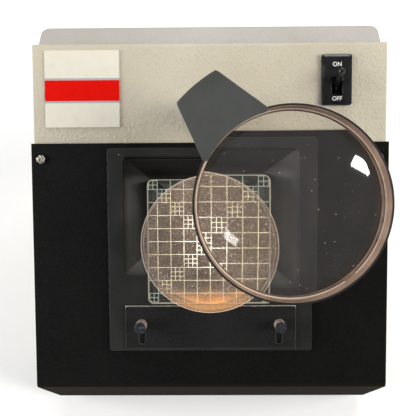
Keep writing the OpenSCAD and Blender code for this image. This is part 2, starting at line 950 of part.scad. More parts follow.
// Square glass that carries the dish, grooved underneath with the ruling
module guide_plate() {
    color("#9fb3ad", 0.35)
    on_face()
        translate([0, glass_mid, 0])
            difference() {
                between(glass_w0, stage_top)
                    rounded_rect(glass_s, glass_s, glass_r);
                between(glass_w0 - past, glass_w0 + rule_d)
                    ruling_outline();
            }
}

// Paint that fills the ruling's grooves
module ruling() {
    color("#e8e0a4")
    on_face()
        translate([0, glass_mid, 0])
            between(glass_w0, glass_w0 + rule_d)
                ruling_outline();
}

// Slotted plate that the dish leans on
module dish_rest() {
    color("#262626")
    on_face()
        difference() {
            translate([-rest_w / 2, rest_u, stage_top + rest_seat])
                cube([rest_w, rest_l, rest_t]);
            for (x = [-rest_slot_x, rest_slot_x])
                translate([x, rest_slot_u + rest_slot_l / 2, 0])
                    between(stage_top - past, thumb_w0 + past)
                        slot_outline(rest_slot_w, rest_slot_l);
        }
}

// Thumbscrew that clamps the dish rest, on the given side
module thumbscrew(side) {
    color("#8d8178")
    on_face()
        translate([side * rest_slot_x, thumb_u, 0]) {
            bar(thumb_head_d, thumb_w0 + thumb_neck, thumb_w0 + thumb_neck + thumb_head_h);
            bar(thumb_head_d * 0.8, thumb_w0, thumb_w0 + thumb_neck);
            bar(thumb_d, -stage_body_d, thumb_w0);
        }
}

module thumbscrew_left() {
    thumbscrew(-1);
}

module thumbscrew_right() {
    thumbscrew(1);
}

// Black sheet that hides the lamp from straight above and lets light past its rim
module darkfield_stop() {
    color("#0d0d0d")
    on_face()
        translate([0, glass_mid, well_w0 - stage_wall - stop_t])
            difference() {
                linear_extrude(stop_t)
                    difference() {
                        rounded_rect(flange_w, flange_l, stage_r);
                        difference() {
                            square(well_in, center = true);
                            circle(d = stop_d);
                            for (a = [45, 135])
                                rotate(a)
                                    square([2 * well_in, spoke_w], center = true);
                        }
                    }
                translate([0, -glass_mid, 0])
                    at_flange_screws()
                        bar(flange_screw_d + 2 * hole_gap, -past, stop_t + past);
            }
}

// White sheet box under the light well, which throws the lamp's light up
module reflector() {
    color("#e9e7df")
    on_face()
        difference() {
            translate([0, glass_mid])
                between(reflector_w0, reflector_w1)
                    rounded_rect(reflector_w, reflector_l, 4);
            translate([0, glass_mid])
                between(reflector_w0 + reflector_t, reflector_w1 - reflector_t)
                    rounded_rect(reflector_w - 2 * reflector_t, reflector_l - 2 * reflector_t,
                        4 - reflector_t);
            translate([0, glass_mid])
                between(reflector_w1 - reflector_t - past, reflector_w1 + past)
                    square(well_in, center = true);
            at_flange_screws()
                bar(flange_screw_d + 2 * hole_gap, reflector_w1 - reflector_t - past,
                    reflector_w1 + past);
            translate([0, glass_mid, lamp_w])
                rotate([0, 90, 0])
                    bar(lead_d, 0, reflector_w);
        }
}

// Screws up through the reflector and the stop into the stage's flange
module reflector_screws() {
    color("#a8a8a4")
    on_face()
        at_flange_screws()
            translate([0, 0, reflector_w1 - reflector_t])
                rotate([180, 0, 0])
                    slotted_screw(flange_screw_d * 2, 2, flange_screw_d,
                        reflector_t + stop_t + stage_wall);
}

// Frame of the lamp: Z along its axis, from the glass's tip to the socket
module on_lamp() {
    on_face()
        translate([lamp_x0, glass_mid, lamp_w])
            rotate([0, 90, 0])
                children();
}

// Glass of the lamp
module lamp_bulb() {
    color("#f4efe0", 0.6)
    on_lamp() {
        translate([0, 0, bulb_d / 2])
            sphere(d = bulb_d);
        translate([0, 0, bulb_d / 2 + bulb_cone])
            cylinder(d1 = 2 * sqrt(pow(bulb_d / 2, 2) - pow(bulb_cone, 2)), d2 = lamp_base_d - 2,
                h = bulb_l - bulb_d / 2 - bulb_cone);
    }
}

// Screw base of the lamp, with its centre contact
module lamp_base() {
    color("#b08d3c")
    on_lamp() {
        bar(lamp_base_d, bulb_l, bulb_l + lamp_base_l - 3);
        translate([0, 0, bulb_l + lamp_base_l - 3])
            cylinder(d1 = lamp_base_d, d2 = lamp_base_d / 2, h = 2);
        bar(lamp_base_d / 3, bulb_l + lamp_base_l - 1, bulb_l + lamp_base_l);
    }
}

// Porcelain socket against the reflector's end wall
module lamp_socket() {
    color("#ded9cd")
    on_lamp()
        difference() {
            bar(socket_d, socket_z, socket_z + socket_l);
            bar(lamp_base_d + 0.2, socket_z - past, bulb_l + lamp_base_l);
            bar(lead_d, socket_z, socket_z + socket_l + past);
        }
}

// Places of the two screws of the terminal block, in the cabinet's frame
module at_terminal_screws() {
    for (x = [-1, 1])
        translate([terminal_x + x * terminal_l / 3, case_d - terminal_back, 0])
            children();
}

// Terminal block for the mains cord, the switch and the lamp
module terminal_block() {
    color("#d8d2c0")
    in_case()
        difference() {
            translate([terminal_x - terminal_l / 2, case_d - terminal_back - terminal_foot_d / 2, base_t])
                cube([terminal_l, terminal_foot_d, terminal_foot_t]);
            at_terminal_screws()
                bar(terminal_screw_d, 0, base_t + terminal_foot_t + past);
        }
    color("#d8d2c0")
    in_case()
        difference() {
            translate([
                terminal_x - terminal_l / 4, case_d - terminal_back - terminal_top_d / 2,
                base_t + terminal_foot_t
            ])
                cube([terminal_l / 2, terminal_top_d, terminal_top_h]);
            for (k = [-1 : 1])
                translate([
                    terminal_x + k * terminal_l / 7, case_d - terminal_back,
                    base_t + terminal_foot_t + terminal_top_h / 2
                ])
                    rotate([90, 0, 0])
                        bar(terminal_hole_d, -terminal_top_d / 2 - past, terminal_top_d / 2 + past);
        }
}

// Screws of the terminal block
module terminal_screws() {
    color("#a8a8a4")
    in_case()
        at_terminal_screws()
            translate([0, 0, base_t + terminal_foot_t])
                slotted_screw(
                    2 * terminal_screw_d, terminal_head_h, terminal_screw_d,
                    base_t + terminal_foot_t
                );
}

// Bare name plate
module name_plate() {
    color("#e8e4d4")
    on_face()
        translate([name_edge - case_w / 2, face_len - name_top - name_l, 0])
            cube([name_w, name_l, name_t]);
}

// Plate round the switch's lever
module switch_plate() {
    color("#0b0b0c")
    on_face()
        difference() {
            translate([switch_x, switch_mid, 0])
                between(0, switch_t)
                    rounded_rect(switch_w, switch_l, switch_r);
            translate([switch_x, lever_u, 0])
                between(-past, switch_t + past)
                    square([lever_slot_w, lever_slot_l], center = true);
            translate([switch_x, switch_mid, 0])
                for (side = [0, 180]) {
                    rotate([0, 0, side])
                        switch_bevel(switch_w / 2, switch_l);
                    rotate([0, 0, side + 90])
                        switch_bevel(switch_l / 2, switch_w);
                }
        }
}

// Cut that bevels one edge of the switch's plate, at a distance from its middle
module switch_bevel(reach, length) {
    bevel_l = 2 * norm([switch_bevel_w, switch_bevel_h]);
    translate([reach, 0, switch_t - switch_bevel_h])
        rotate([0, atan2(switch_bevel_h, switch_bevel_w), 0])
            translate([-bevel_l, -length, 0])
                cube([2 * bevel_l, 2 * length, bevel_l]);
}

// Body of the switch, behind the face
module switch_body() {
    color("#1a1a1a")
    on_face()
        difference() {
            translate([switch_x, switch_mid, 0]) {
                between(-case_t - switch_body_d, -case_t)
                    square([switch_body_w, switch_body_l], center = true);
                between(-case_t, 0)
                    square([switch_neck_w - 2 * fit, switch_neck_l - 2 * fit], center = true);
            }
            translate([switch_x, lever_u, 0]) {
                between(lever_w - lever_ball_d / 2 - 1, past)
                    square([lever_slot_w, lever_slot_l], center = true);
                translate([0, 0, lever_w])
                    rotate([0, 90, 0])
                        bar(lever_pin_d + 2 * run_gap, -lever_pin_l / 2, lever_pin_l / 2);
            }
        }
}

// Lever of the switch, thrown up, on its pin
module switch_lever() {
    color("#101010")
    on_face()
        translate([switch_x, lever_u, lever_w]) {
            sphere(d = lever_ball_d);
            rotate([0, 90, 0])
                bar(lever_pin_d, -lever_pin_l / 2, lever_pin_l / 2);
            rotate([-lever_angle, 0, 0]) {
                cylinder(d1 = lever_d - 0.8, d2 = lever_d + 0.6, h = lever_l - lever_d / 2);
                translate([0, 0, lever_l - lever_d / 2 - 0.3])
                    sphere(d = lever_d + 0.6);
            }
        }
}

// Flanged bushing through the cabinet's face
module post_bushing() {
    color("#77787a")
    on_face()
        translate([0, pivot_u, 0])
            difference() {
                union() {
                    bar(bushing_flange_d, 0, bushing_flange_t);
                    bar(bushing_d, -bushing_l, 0);
                }
                bar(sleeve_d + 2 * run_gap, -bushing_l - past, bushing_flange_t + past);
                translate([0, 0, friction_w])
                    rotate([90, 0, 0])
                        bar(friction_d, 0, bushing_d);
            }
}

// Nut that holds the bushing, under the face
module bushing_nut() {
    color("#9b9c9e")
    on_face()
        translate([0, pivot_u, 0])
            difference() {
                hex_bar(bushing_nut_s, -case_t - bushing_nut_h, -case_t);
                bar(bushing_d, -case_t - bushing_nut_h - past, past);
            }
}

// Set screw whose tip bears on the sleeve and holds the focus
module friction_screw() {
    color("#3f3f42")
    on_face()
        translate([0, pivot_u, friction_w])
            rotate([90, 0, 0])
                difference() {
                    bar(friction_d, sleeve_d / 2 + 2 * run_gap, bushing_d / 2 + friction_out);
                    translate([-friction_d, -slot_cut_w / 2, bushing_d / 2 + friction_out - slot_cut_d])
                        cube([2 * friction_d, slot_cut_w, 2 * slot_cut_d]);
                }
}

// Sleeve that slides in the bushing and carries the magnifier
module focus_sleeve() {
    color("#8c8e92")
    on_face()
        translate([0, pivot_u, 0])
            difference() {
                union() {
                    bar(sleeve_d, sleeve_w0, hub_w0);
                    bar(collar_d, collar_w0, collar_w0 + collar_h);
                }
                bar(post_d + 2 * run_gap, sleeve_w0 - past, hub_w0 + past);
            }
}

// Ring clamped on the sleeve, which stops its rise under the bushing
module focus_stop() {
    color("#6d6e70")
    on_face()
        translate([0, pivot_u, 0])
            difference() {
                bar(bushing_d, stop_w1 - stop_h, stop_w1);
                bar(sleeve_d, stop_w1 - stop_h - past, stop_w1 + past);
            }
}

// Post pressed into the magnifier's hub, grooved for its clip
module lens_post() {
    color("#a7a9ac")
    on_arm()
        difference() {
            bar(post_d, clip_w0 - post_tail, hub_w0 + post_in_hub);
            difference() {
                bar(post_d + past, clip_w0, clip_w0 + clip_t);
                bar(post_d - 2 * clip_groove, clip_w0 - past, clip_w0 + clip_t + past);
            }
        }
}

// Washer between the sleeve's lower end and the clip
module thrust_washer() {
    color("#c2a25a")
    on_arm()
        difference() {
            bar(washer_d, sleeve_w0 - run_gap - washer_t, sleeve_w0 - run_gap);
            bar(post_d + 2 * run_gap, sleeve_w0 - washer_t - past, sleeve_w0 + past);
        }
}

// Open clip in the post's groove
module post_clip() {
    color("#7d7e80")
    on_arm()
        difference() {
            bar(sleeve_d - 1, clip_w0, clip_w0 + clip_t);
            bar(post_d - 2 * clip_groove, clip_w0 - past, clip_w0 + clip_t + past);
            translate([-post_d / 4, 0, clip_w0 - past])
                cube([post_d / 2, sleeve_d, clip_t + 2 * past]);
        }
}

// Lens ring with its ledge, the arm and the hub, in one casting
module lens_mount() {
    color("#1c1b1b")
    on_arm()
        difference() {
            union() {
                translate([0, -swing_r, 0])
                    cylinder(r = ring_out, h = ring_h + ring_w0, $fn = ring_fn);
                bar(hub_d, hub_w0, hub_w1);
                translate([-hub_d / 2, -swing_r, hub_w0])
                    cube([hub_d, swing_r, hub_w1 - hub_w0]);
            }
            translate([0, -swing_r, -past])
                cylinder(r = ring_out + past, h = ring_w0 + past, $fn = ring_fn);
            translate([0, -swing_r, lens_seat_w])
                cylinder(r = ring_in, h = ring_h, $fn = ring_fn);
            translate([0, -swing_r, 0])
                cylinder(r = ring_in - ledge_w, h = ring_w0 + ring_h, $fn = ring_fn);
            bar(post_d, 0, hub_w0 + post_in_hub);
            for (x = [-arm_screw_x, arm_screw_x])
                translate([x, -arm_screw_back, 0])
                    bar(arm_screw_d + 2 * hole_gap, 0, hub_w1 + past);
        }
}

// Rise of a lens face above its edge, at radius r
function lens_rise(r) = sqrt(pow(lens_r, 2) - pow(r, 2)) - sqrt(pow(lens_r, 2) - pow(lens_d / 2, 2));

// Biconvex lens, resting on the ledge's inner rim
module lens() {
    half = lens_rise(0) + lens_edge / 2;
    color("#dfe9ee", 0.3)
    on_arm()
        translate([0, -swing_r, lens_w + lens_edge / 2])
            intersection() {
                translate([0, 0, half - lens_r])
                    sphere(r = lens_r, $fn = lens_fn);
                translate([0, 0, lens_r - half])
                    sphere(r = lens_r, $fn = lens_fn);
                translate([0, 0, -half])
                    cylinder(d = lens_d, h = 2 * half, $fn = ring_fn);
            }
}

// Split snap ring over the lens's edge
module lens_retainer() {
    w0 = lens_w + lens_edge + lens_rise(ring_in - ledge_w);
    color("#b99b7c")
    on_arm()
        translate([0, -swing_r, 0])
            difference() {
                translate([0, 0, w0])
                    cylinder(r = ring_in, h = retainer_t, $fn = ring_fn);
                translate([0, 0, w0 - past])
                    cylinder(r = ring_in - ledge_w, h = retainer_t + 2 * past, $fn = ring_fn);
                translate([-retainer_split / 2, -ring_out, w0 - past])
                    cube([retainer_split, ring_t + ledge_w + past, retainer_t + 2 * past]);
            }
}

// Outline of the arm's cover about the lens's axis, e smaller at its sides and outer end
module cover_outline(e) {
    end = swing_r + cover_end - e;
    half_end = cover_end_w / 2 - e;
    half_in = cover_tip_w / 2 - e;
    slope = (half_in - half_end) / (end - cover_in);
    k = cover_in - half_in * slope;
    drop = (k - sqrt(k * k - (1 + slope * slope) * half_in * half_in)) / (1 + slope * slope);
    corner = [half_in + slope * drop, cover_in - drop];
    step = atan2(corner.x, corner.y) * cover_arc / cover_steps;
    edge = [for (i = [cover_steps : -1 : -cover_steps]) cover_in * [sin(i * step), cos(i * step)]];
    intersection() {
        polygon(round_corners(
            concat([[-corner.x, corner.y], [-half_end, end], [half_end, end], corner], edge),
            concat(
                [cover_tip_r, cover_corner_r - e, cover_corner_r - e, cover_tip_r],
                [for (p = edge) 0]
            )
        ));
        circle(r = end, $fn = ring_fn);
    }
}

// Cover over the arm and the hub, with a skirt outside the lens ring
module arm_cover() {
    color("#4c4f4e")
    on_arm()
        difference() {
            translate([0, -swing_r, 0])
                difference() {
                    union() {
                        between(arm_w1, arm_w1 + arm_cover_t)
                            cover_outline(0);
                        difference() {
                            between(arm_w1 - skirt_d, arm_w1)
                                cover_outline(0);
                            between(arm_w1 - skirt_d - past, arm_w1 + past)
                                cover_outline(cover_wall);
                            translate([0, 0, arm_w1 - skirt_d - past])
                                cylinder(r = ring_out + fit, h = skirt_d + 2 * past, $fn = ring_fn);
                        }
                        for (x = [-arm_screw_x, arm_screw_x])
                            translate([x, swing_r - arm_screw_back, 0])
                                bar(arm_screw_d * 2, hub_w1, arm_w1);
                    }
                    for (x = [-arm_screw_x, arm_screw_x])
                        translate([x, swing_r - arm_screw_back, 0])
                            bar(arm_screw_d, hub_w1 - past, arm_w1 + arm_cover_t / 2);
                }
        }
}

// Screws up through the arm into its cover
module arm_screws() {
    color("#8f9092")
    on_arm()
        for (x = [-arm_screw_x, arm_screw_x])
            translate([x, -arm_screw_back, hub_w0])
                rotate([180, 0, 0])
                    slotted_screw(arm_screw_d * 2, arm_head_h, arm_screw_d,
                        arm_w1 - hub_w0 + arm_cover_t / 2);
}

// Frame of the Petri dish: Z up from its underside
module in_dish() {
    on_face()
        translate([0, dish_mid, stage_top + dish_seat])
            children();
}

// Base of the Petri dish
module dish_base() {
    color("#cfd3d0", 0.4)
    in_dish()
        difference() {
            cylinder(d = dish_d, h = dish_h - dish_t, $fn = ring_fn);
            translate([0, 0, dish_t])
                cylinder(d = dish_d - 2 * dish_t, h = dish_h, $fn = ring_fn);
        }
}

// Disc of agar in the dish
module agar() {
    color("#7d6a5c", 0.8)
    in_dish()
        translate([0, 0, dish_t])
            cylinder(d = dish_d - 2 * dish_t - 2 * agar_gap, h = agar_h, $fn = ring_fn);
}

// Lid of the Petri dish, resting on the base's rim
module dish_lid() {
    color("#dfe3e0", 0.35)
    in_dish()
        difference() {
            translate([0, 0, dish_h - lid_h])
                cylinder(d = lid_d, h = lid_h, $fn = ring_fn);
            translate([0, 0, dish_h - lid_h - past])
                cylinder(d = lid_d - 2 * dish_t, h = lid_h - dish_t + past, $fn = ring_fn);
        }
}

cabinet();
front_panel();
base_plate();
rear_cover();
feet();
foot_screws();
cover_standoffs();
rear_cover_screws();
cord_bush();
panel_screws();
stage();
stage_nuts();
guide_plate();
ruling();
dish_rest();
thumbscrew_left();
thumbscrew_right();
darkfield_stop();
reflector();
reflector_screws();
lamp_bulb();
lamp_base();
lamp_socket();
terminal_block();
terminal_screws();
name_plate();
switch_plate();
switch_body();
switch_lever();
post_bushing();
bushing_nut();
friction_screw();
focus_sleeve();
focus_stop();
lens_post();
thrust_washer();
post_clip();
lens_mount();
lens();
lens_retainer();
arm_cover();
arm_screws();
dish_base();
agar();
dish_lid();
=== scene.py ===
# %% [markdown]
# # A colony counter, dressed from its engineering model
# The counter is a sheet-metal cabinet with a sloping face. A Petri dish lies on a ruled glass
# plate in that face, a hidden lamp lights it from below, and a large lens swings over it.
# The shapes already exist as an exact model with moving bodies. Here each piece gets the finish
# that its real material has, and the few things that are too fine for the model are added.

import math

import bpy
from mathutils import Euler, Matrix, Vector


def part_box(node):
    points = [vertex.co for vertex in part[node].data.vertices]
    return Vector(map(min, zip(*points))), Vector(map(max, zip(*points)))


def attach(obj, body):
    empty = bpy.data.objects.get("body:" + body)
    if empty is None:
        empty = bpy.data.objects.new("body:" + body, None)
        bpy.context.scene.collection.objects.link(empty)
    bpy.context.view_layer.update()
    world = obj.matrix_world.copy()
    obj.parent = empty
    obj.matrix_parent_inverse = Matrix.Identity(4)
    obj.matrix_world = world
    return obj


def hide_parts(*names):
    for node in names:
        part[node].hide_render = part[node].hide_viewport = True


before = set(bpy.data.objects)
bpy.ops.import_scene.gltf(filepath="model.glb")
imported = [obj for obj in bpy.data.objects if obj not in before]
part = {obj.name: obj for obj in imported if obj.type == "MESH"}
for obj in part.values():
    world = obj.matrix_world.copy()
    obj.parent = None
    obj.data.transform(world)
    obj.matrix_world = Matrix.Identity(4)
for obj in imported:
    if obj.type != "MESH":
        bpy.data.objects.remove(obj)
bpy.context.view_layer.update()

# %% [markdown]
# ## The sloping face
# Almost everything sits on a face that leans back by 30 degrees. Its own axes are easier to work
# in than the room's: `across` runs to the right, `up` runs up the slope and `out` points away
# from the sheet. One small function turns these three distances into a point in the room, a
# second one turns a point back, and the same turn serves for lettering and for materials that
# need to know where they are.

# %% Places on the face
FACE_TILT = math.radians(30)
FACE_FOOT = Vector((0.0, -0.1284, 0.073))
FACE_TURN = Matrix.Rotation(FACE_TILT, 3, "X")


def on_face(across, up, out):
    """A point given in millimetres along the sloping face."""
    return FACE_FOOT + FACE_TURN @ (Vector((across, up, out)) / 1000)


def along_face(point):
    """The same three distances of a point in the room, in metres."""
    return FACE_TURN.inverted() @ (point - FACE_FOOT)


FACE_MIDDLE = on_face(0, 110, 0)
PLATE_MIDDLE = on_face(0, 112.7, 5.0)
DISH_MIDDLE = on_face(0, 112.9, 5.05)
lens_low, lens_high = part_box("lens")
LENS_MIDDLE = (lens_low + lens_high) / 2
print("lens at", [round(v * 1000, 1) for v in LENS_MIDDLE])

# %% [markdown]
# ## Camera
# The counter is seen from above and a little in front, by someone who stands at the bench and
# leans over it. The camera looks almost square on to the sloping face, so its rows and columns
# stay nearly parallel, and a 41 mm lens keeps the mild perspective of such a view.

# %% Set the camera
CAMERA_PLACE = (0.00182, -0.17487, 0.46730)
CAMERA_TURN = (27.061, 0.592, -0.031)  # degrees about x, y and z
FOCAL_LENGTH, SENSOR_WIDTH = 41.16, 36  # millimetres

view = bpy.data.cameras.new("bench_view")
view.lens = FOCAL_LENGTH
view.sensor_width = SENSOR_WIDTH
camera = bpy.data.objects.new("bench_view", view)
camera.location = CAMERA_PLACE
camera.rotation_euler = Euler([math.radians(turn) for turn in CAMERA_TURN])
bpy.context.scene.collection.objects.link(camera)
bpy.context.scene.camera = camera
print("camera", [round(v, 4) for v in camera.location], "lens", view.lens)

# %% [markdown]
# ## Table and light
# A pale, even table keeps the outline clear. The light is a large softbox high behind the
# counter, which puts a bright line on every bent edge, two wide fills at the sides, and one
# small ceiling panel at the upper right. The panel is dim, but glass mirrors it as a small
# bright window, and that mirror image is what makes a lens look like a lens. The right fill is
# kept out of mirror images, because a second window in the lens would hide the ruling.

# %% Table
TABLE_REACH = 6.0
table_mesh = bpy.data.meshes.new("table_top")
table_mesh.from_pydata(
    [(x * TABLE_REACH, y * TABLE_REACH, 0) for x, y in ((-1, -1), (1, -1), (1, 1), (-1, 1))],
    [],
    [(0, 1, 2, 3)],
)
table = bpy.data.objects.new("table_top", table_mesh)
bpy.context.scene.collection.objects.link(table)
print("table:", 2 * TABLE_REACH, "m wide")

# %% Room light
bpy.context.scene.view_settings.view_transform = "Standard"
room = bpy.data.worlds.new("room")
room.use_nodes = True
sky = room.node_tree.nodes["Background"].inputs
sky["Color"].default_value = (0.95, 0.97, 1.0, 1.0)
sky["Strength"].default_value = 0.21
bpy.context.scene.world = room
print("room light:", round(sky["Strength"].default_value, 2))


# %% Lamps
def softbox(name, place, aim, width, height, power, tint=(1.0, 1.0, 1.0)):
    """A rectangular light that faces a point."""
    lamp = bpy.data.lights.new(name, "AREA")
    lamp.shape = "RECTANGLE"
    lamp.size, lamp.size_y = width, height
    lamp.energy = power
    lamp.color = tint
    holder = bpy.data.objects.new(name, lamp)
    holder.location = place
    holder.rotation_euler = (Vector(aim) - Vector(place)).to_track_quat("-Z", "Y").to_euler()
    bpy.context.scene.collection.objects.link(holder)
    return holder


WARM_WHITE, COOL_WHITE, ROOM_WHITE = (1.0, 0.985, 0.96), (0.98, 0.985, 1.0), (1.0, 0.97, 0.93)
PANEL_WAY, PANEL_DISTANCE = FACE_TURN @ Vector((0.615, 0.212, 0.770)), 2.2

LAMPS = [  # name, place, width, height, watts, tint
    ("back_softbox", (0.25, 1.15, 1.45), 1.3, 0.5, 13, WARM_WHITE),
    ("left_fill", (-1.65, -0.25, 0.70), 1.0, 1.0, 35, COOL_WHITE),
    ("right_fill", (1.45, -0.30, 0.85), 0.9, 0.9, 28, ROOM_WHITE),
]
lamps = {name: softbox(name, place, FACE_MIDDLE, *rest) for name, place, *rest in LAMPS}
lamps["right_fill"].visible_transmission = False
lamps["right_fill"].visible_glossy = False
panel_place = LENS_MIDDLE + PANEL_DISTANCE * PANEL_WAY
softbox("ceiling_panel", panel_place, LENS_MIDDLE, width=0.17, height=0.30, power=5)

# %% [markdown]
# ## Tools for finishes
# A finish is a small network of nodes. Every one here is built from the same few steps: noise
# that varies at a stated size in metres, a band that turns the noise into a range of numbers, a
# ramp that turns it into colours, and relief that turns it into bumps. The noise reads the
# piece's own coordinates, so it stays put when the piece moves. What is the same all over a
# piece, such as its gloss, is set on the shader itself.


# %% Nodes in one line
def put(tree, kind, values=None, **settings):
    """Add a shader node, fill in its sockets by name and its own settings."""
    made = tree.nodes.new("ShaderNode" + kind)
    for name, value in settings.items():
        setattr(made, name, value)
    for name, value in (values or {}).items():
        if hasattr(value, "links"):
            tree.links.new(value, made.inputs[name])
        else:
            made.inputs[name].default_value = value
    return made


def new_finish(name, colour, roughness, metallic=0.0, **shader_values):
    """A material with a principled shader, whose even values sit on its own sockets."""
    finish = bpy.data.materials.new(name)
    finish.use_nodes = True
    shader = finish.node_tree.nodes["Principled BSDF"]
    shader.inputs["Base Color"].default_value = (*colour, 1.0)
    shader.inputs["Roughness"].default_value = roughness
    shader.inputs["Metallic"].default_value = metallic
    for name, value in shader_values.items():
        shader.inputs[name.replace("_", " ")].default_value = value
    return finish, finish.node_tree, shader


def feed(shader, socket, pattern):
    """Let a pattern decide one of the shader's values."""
    shader.id_data.links.new(pattern, shader.inputs[socket])


def dress(finish, *pieces):
    """Give a finish to pieces of the model."""
    for piece in pieces:
        mesh = part[piece].data
        mesh.materials.clear()
        mesh.materials.append(finish)
    print(f"{finish.name}: {', '.join(pieces)}")


print("a finish is made with new_finish, fed with patterns and put on with dress")


# %% Noise and cells
def own_place(tree):
    """The piece's own coordinates, in metres."""
    return put(tree, "TexCoord").outputs["Object"]


def grain(tree, size, detail=2.0):
    """Noise with patches about `size` metres wide."""
    sockets = {"Vector": own_place(tree), "Scale": 1 / size, "Detail": detail}
    return put(tree, "TexNoise", sockets).outputs["Fac"]


def pebbles(tree, size):
    """Rounded cells about `size` metres wide."""
    sockets = {"Vector": own_place(tree), "Scale": 1 / size}
    return put(tree, "TexVoronoi", sockets, feature="SMOOTH_F1").outputs["Distance"]


print("patterns: grain, pebbles")


# %% Numbers from patterns
def band(tree, value, low, high, start=0.3, end=0.7):
    """Turn a value between start and end into one between low and high."""
    sockets = {"Value": value, "From Min": start, "From Max": end, "To Min": low, "To Max": high}
    return put(tree, "MapRange", sockets).outputs["Result"]


def reckon(tree, operation, first, second=0.0):
    """One step of arithmetic."""
    step = put(tree, "Math", operation=operation)
    for socket, value in zip(step.inputs, (first, second)):
        if hasattr(value, "links"):
            tree.links.new(value, socket)
        else:
            socket.default_value = value
    return step.outputs["Value"]


def plus(tree, first, second):
    """Add two patterns."""
    return reckon(tree, "ADD", first, second)


def times(tree, first, second):
    """Multiply two patterns."""
    return reckon(tree, "MULTIPLY", first, second)


print("arithmetic: band, reckon, plus, times")


# %% Colours from patterns
def colours(tree, value, stops, interpolation="LINEAR"):
    """A colour ramp with (place, colour) stops."""
    ramp = put(tree, "ValToRGB", {"Fac": value})
    ramp.color_ramp.interpolation = interpolation
    marks = ramp.color_ramp.elements
    for spare in range(len(stops) - 2):
        marks.new(0.5)
    for mark, (where, colour) in zip(marks, sorted(stops)):
        mark.position = where
        mark.color = (*colour, 1.0)
    return ramp.outputs["Color"]


def blend(tree, share, first, second, way="MIX"):
    """Mix two colours."""
    mixed = put(tree, "Mix", data_type="RGBA", blend_type=way)
    for name, value in (("Factor_Float", share), ("A_Color", first), ("B_Color", second)):
        socket = next(s for s in mixed.inputs if s.identifier == name)
        if hasattr(value, "links"):
            tree.links.new(value, socket)
        elif name == "Factor_Float":
            socket.default_value = value
        else:
            socket.default_value = (*value, 1.0)
    return next(s for s in mixed.outputs if s.identifier == "Result_Color")


def brighter(colour, factor):
    """The same colour with more light in it."""
    return tuple(factor * c for c in colour)


print("colour: colours, blend, brighter")


# %% Relief, rubbed corners and dust
def relief(tree, shader, height, depth, soft_edge=0.0):
    """Bumps `depth` metres high, on corners that are softened over `soft_edge` metres."""
    bump = put(tree, "Bump", {"Height": height, "Distance": depth, "Strength": 1.0})
    if soft_edge:
        corner = put(tree, "Bevel", {"Radius": soft_edge}, samples=4)
        tree.links.new(corner.outputs["Normal"], bump.inputs["Normal"])
    tree.links.new(bump.outputs["Normal"], shader.inputs["Normal"])
    return bump


def corner_wear(tree, reach):
    """Near 1 within `reach` metres of an outside or inside corner, 0 on flat faces."""
    soft = put(tree, "Bevel", {"Radius": reach}, samples=4).outputs["Normal"]
    hard = put(tree, "NewGeometry").outputs["Normal"]
    likeness = put(tree, "VectorMath", operation="DOT_PRODUCT")
    tree.links.new(soft, likeness.inputs[0])
    tree.links.new(hard, likeness.inputs[1])
    return band(tree, likeness.outputs["Value"], 1.0, 0.0, 0.80, 0.99)


def dust(tree, spacing, size, kept=0.25):
    """1 on a few small specks, 0 elsewhere."""
    sockets = {"Vector": own_place(tree), "Scale": 1 / spacing, "Randomness": 1.0}
    cells = put(tree, "TexVoronoi", sockets)
    away = cells.outputs["Distance"]
    speck = band(tree, away, 1.0, 0.0, 0.55 * size / spacing, size / spacing)
    chance = put(tree, "SeparateColor", {"Color": cells.outputs["Color"]}).outputs["Red"]
    return times(tree, speck, reckon(tree, "LESS_THAN", chance, kept))


print("surface: relief, corner_wear, dust")


# %% Where a point lies on the face
def face_axes(tree, middle):
    """Coordinates across, up and out of the sloping face, in metres from a middle point."""
    turned = put(tree, "Mapping", {"Vector": own_place(tree)}, vector_type="TEXTURE")
    turned.inputs["Location"].default_value = middle
    turned.inputs["Rotation"].default_value = (FACE_TILT, 0, 0)
    return put(tree, "SeparateXYZ", {"Vector": turned.outputs["Vector"]}).outputs


def face_radius(tree, middle):
    """Distance from an axis that stands square on the sloping face."""
    axes = face_axes(tree, middle)
    squares = [times(tree, axes[name], axes[name]) for name in "XY"]
    return reckon(tree, "SQRT", plus(tree, *squares))


print("place: face_axes, face_radius")

# %% [markdown]
# ## Table top
# The table is a matt white laminate. It only has to be pale and calm, so one faint, wide noise
# is enough to keep it from being a dead flat white.

# %% Table finish
laminate, tree, shader = new_finish("white_laminate", (0.90, 0.90, 0.90), roughness=0.7)
cloud = grain(tree, size=0.4)
whites = [(0.3, (0.90, 0.90, 0.895)), (0.7, (0.93, 0.93, 0.925))]
feed(shader, "Base Color", colours(tree, cloud, whites))
table.data.materials.append(laminate)
print(f"{laminate.name}: {table.name}")

# %% [markdown]
# ## Hammered enamel
# The cabinet is sprayed with a stove enamel that pulls itself into pebbles as it dries. The
# large ones are about 3 mm wide, with beads of a millimetre scattered between them, and none
# stands higher than a few tenths. Cutting them into the sheet would take millions of faces, so
# they are a bump: rounded cells, fine grain and beads are added up, and each tiny slope catches
# the softbox. The sheet's bent edges are softened in the same step. The colour drifts a little
# over the whole sheet, as old paint does.


# %% Enamel for the cabinet and its rear cover
PEBBLE, FINE_PEBBLE, DRIFT = 0.0030, 0.0011, 0.07
BEAD_SPACING, BEAD = 0.0026, 0.0011
ENAMEL_DEPTH, BENT_EDGE = 0.00030, 0.0014


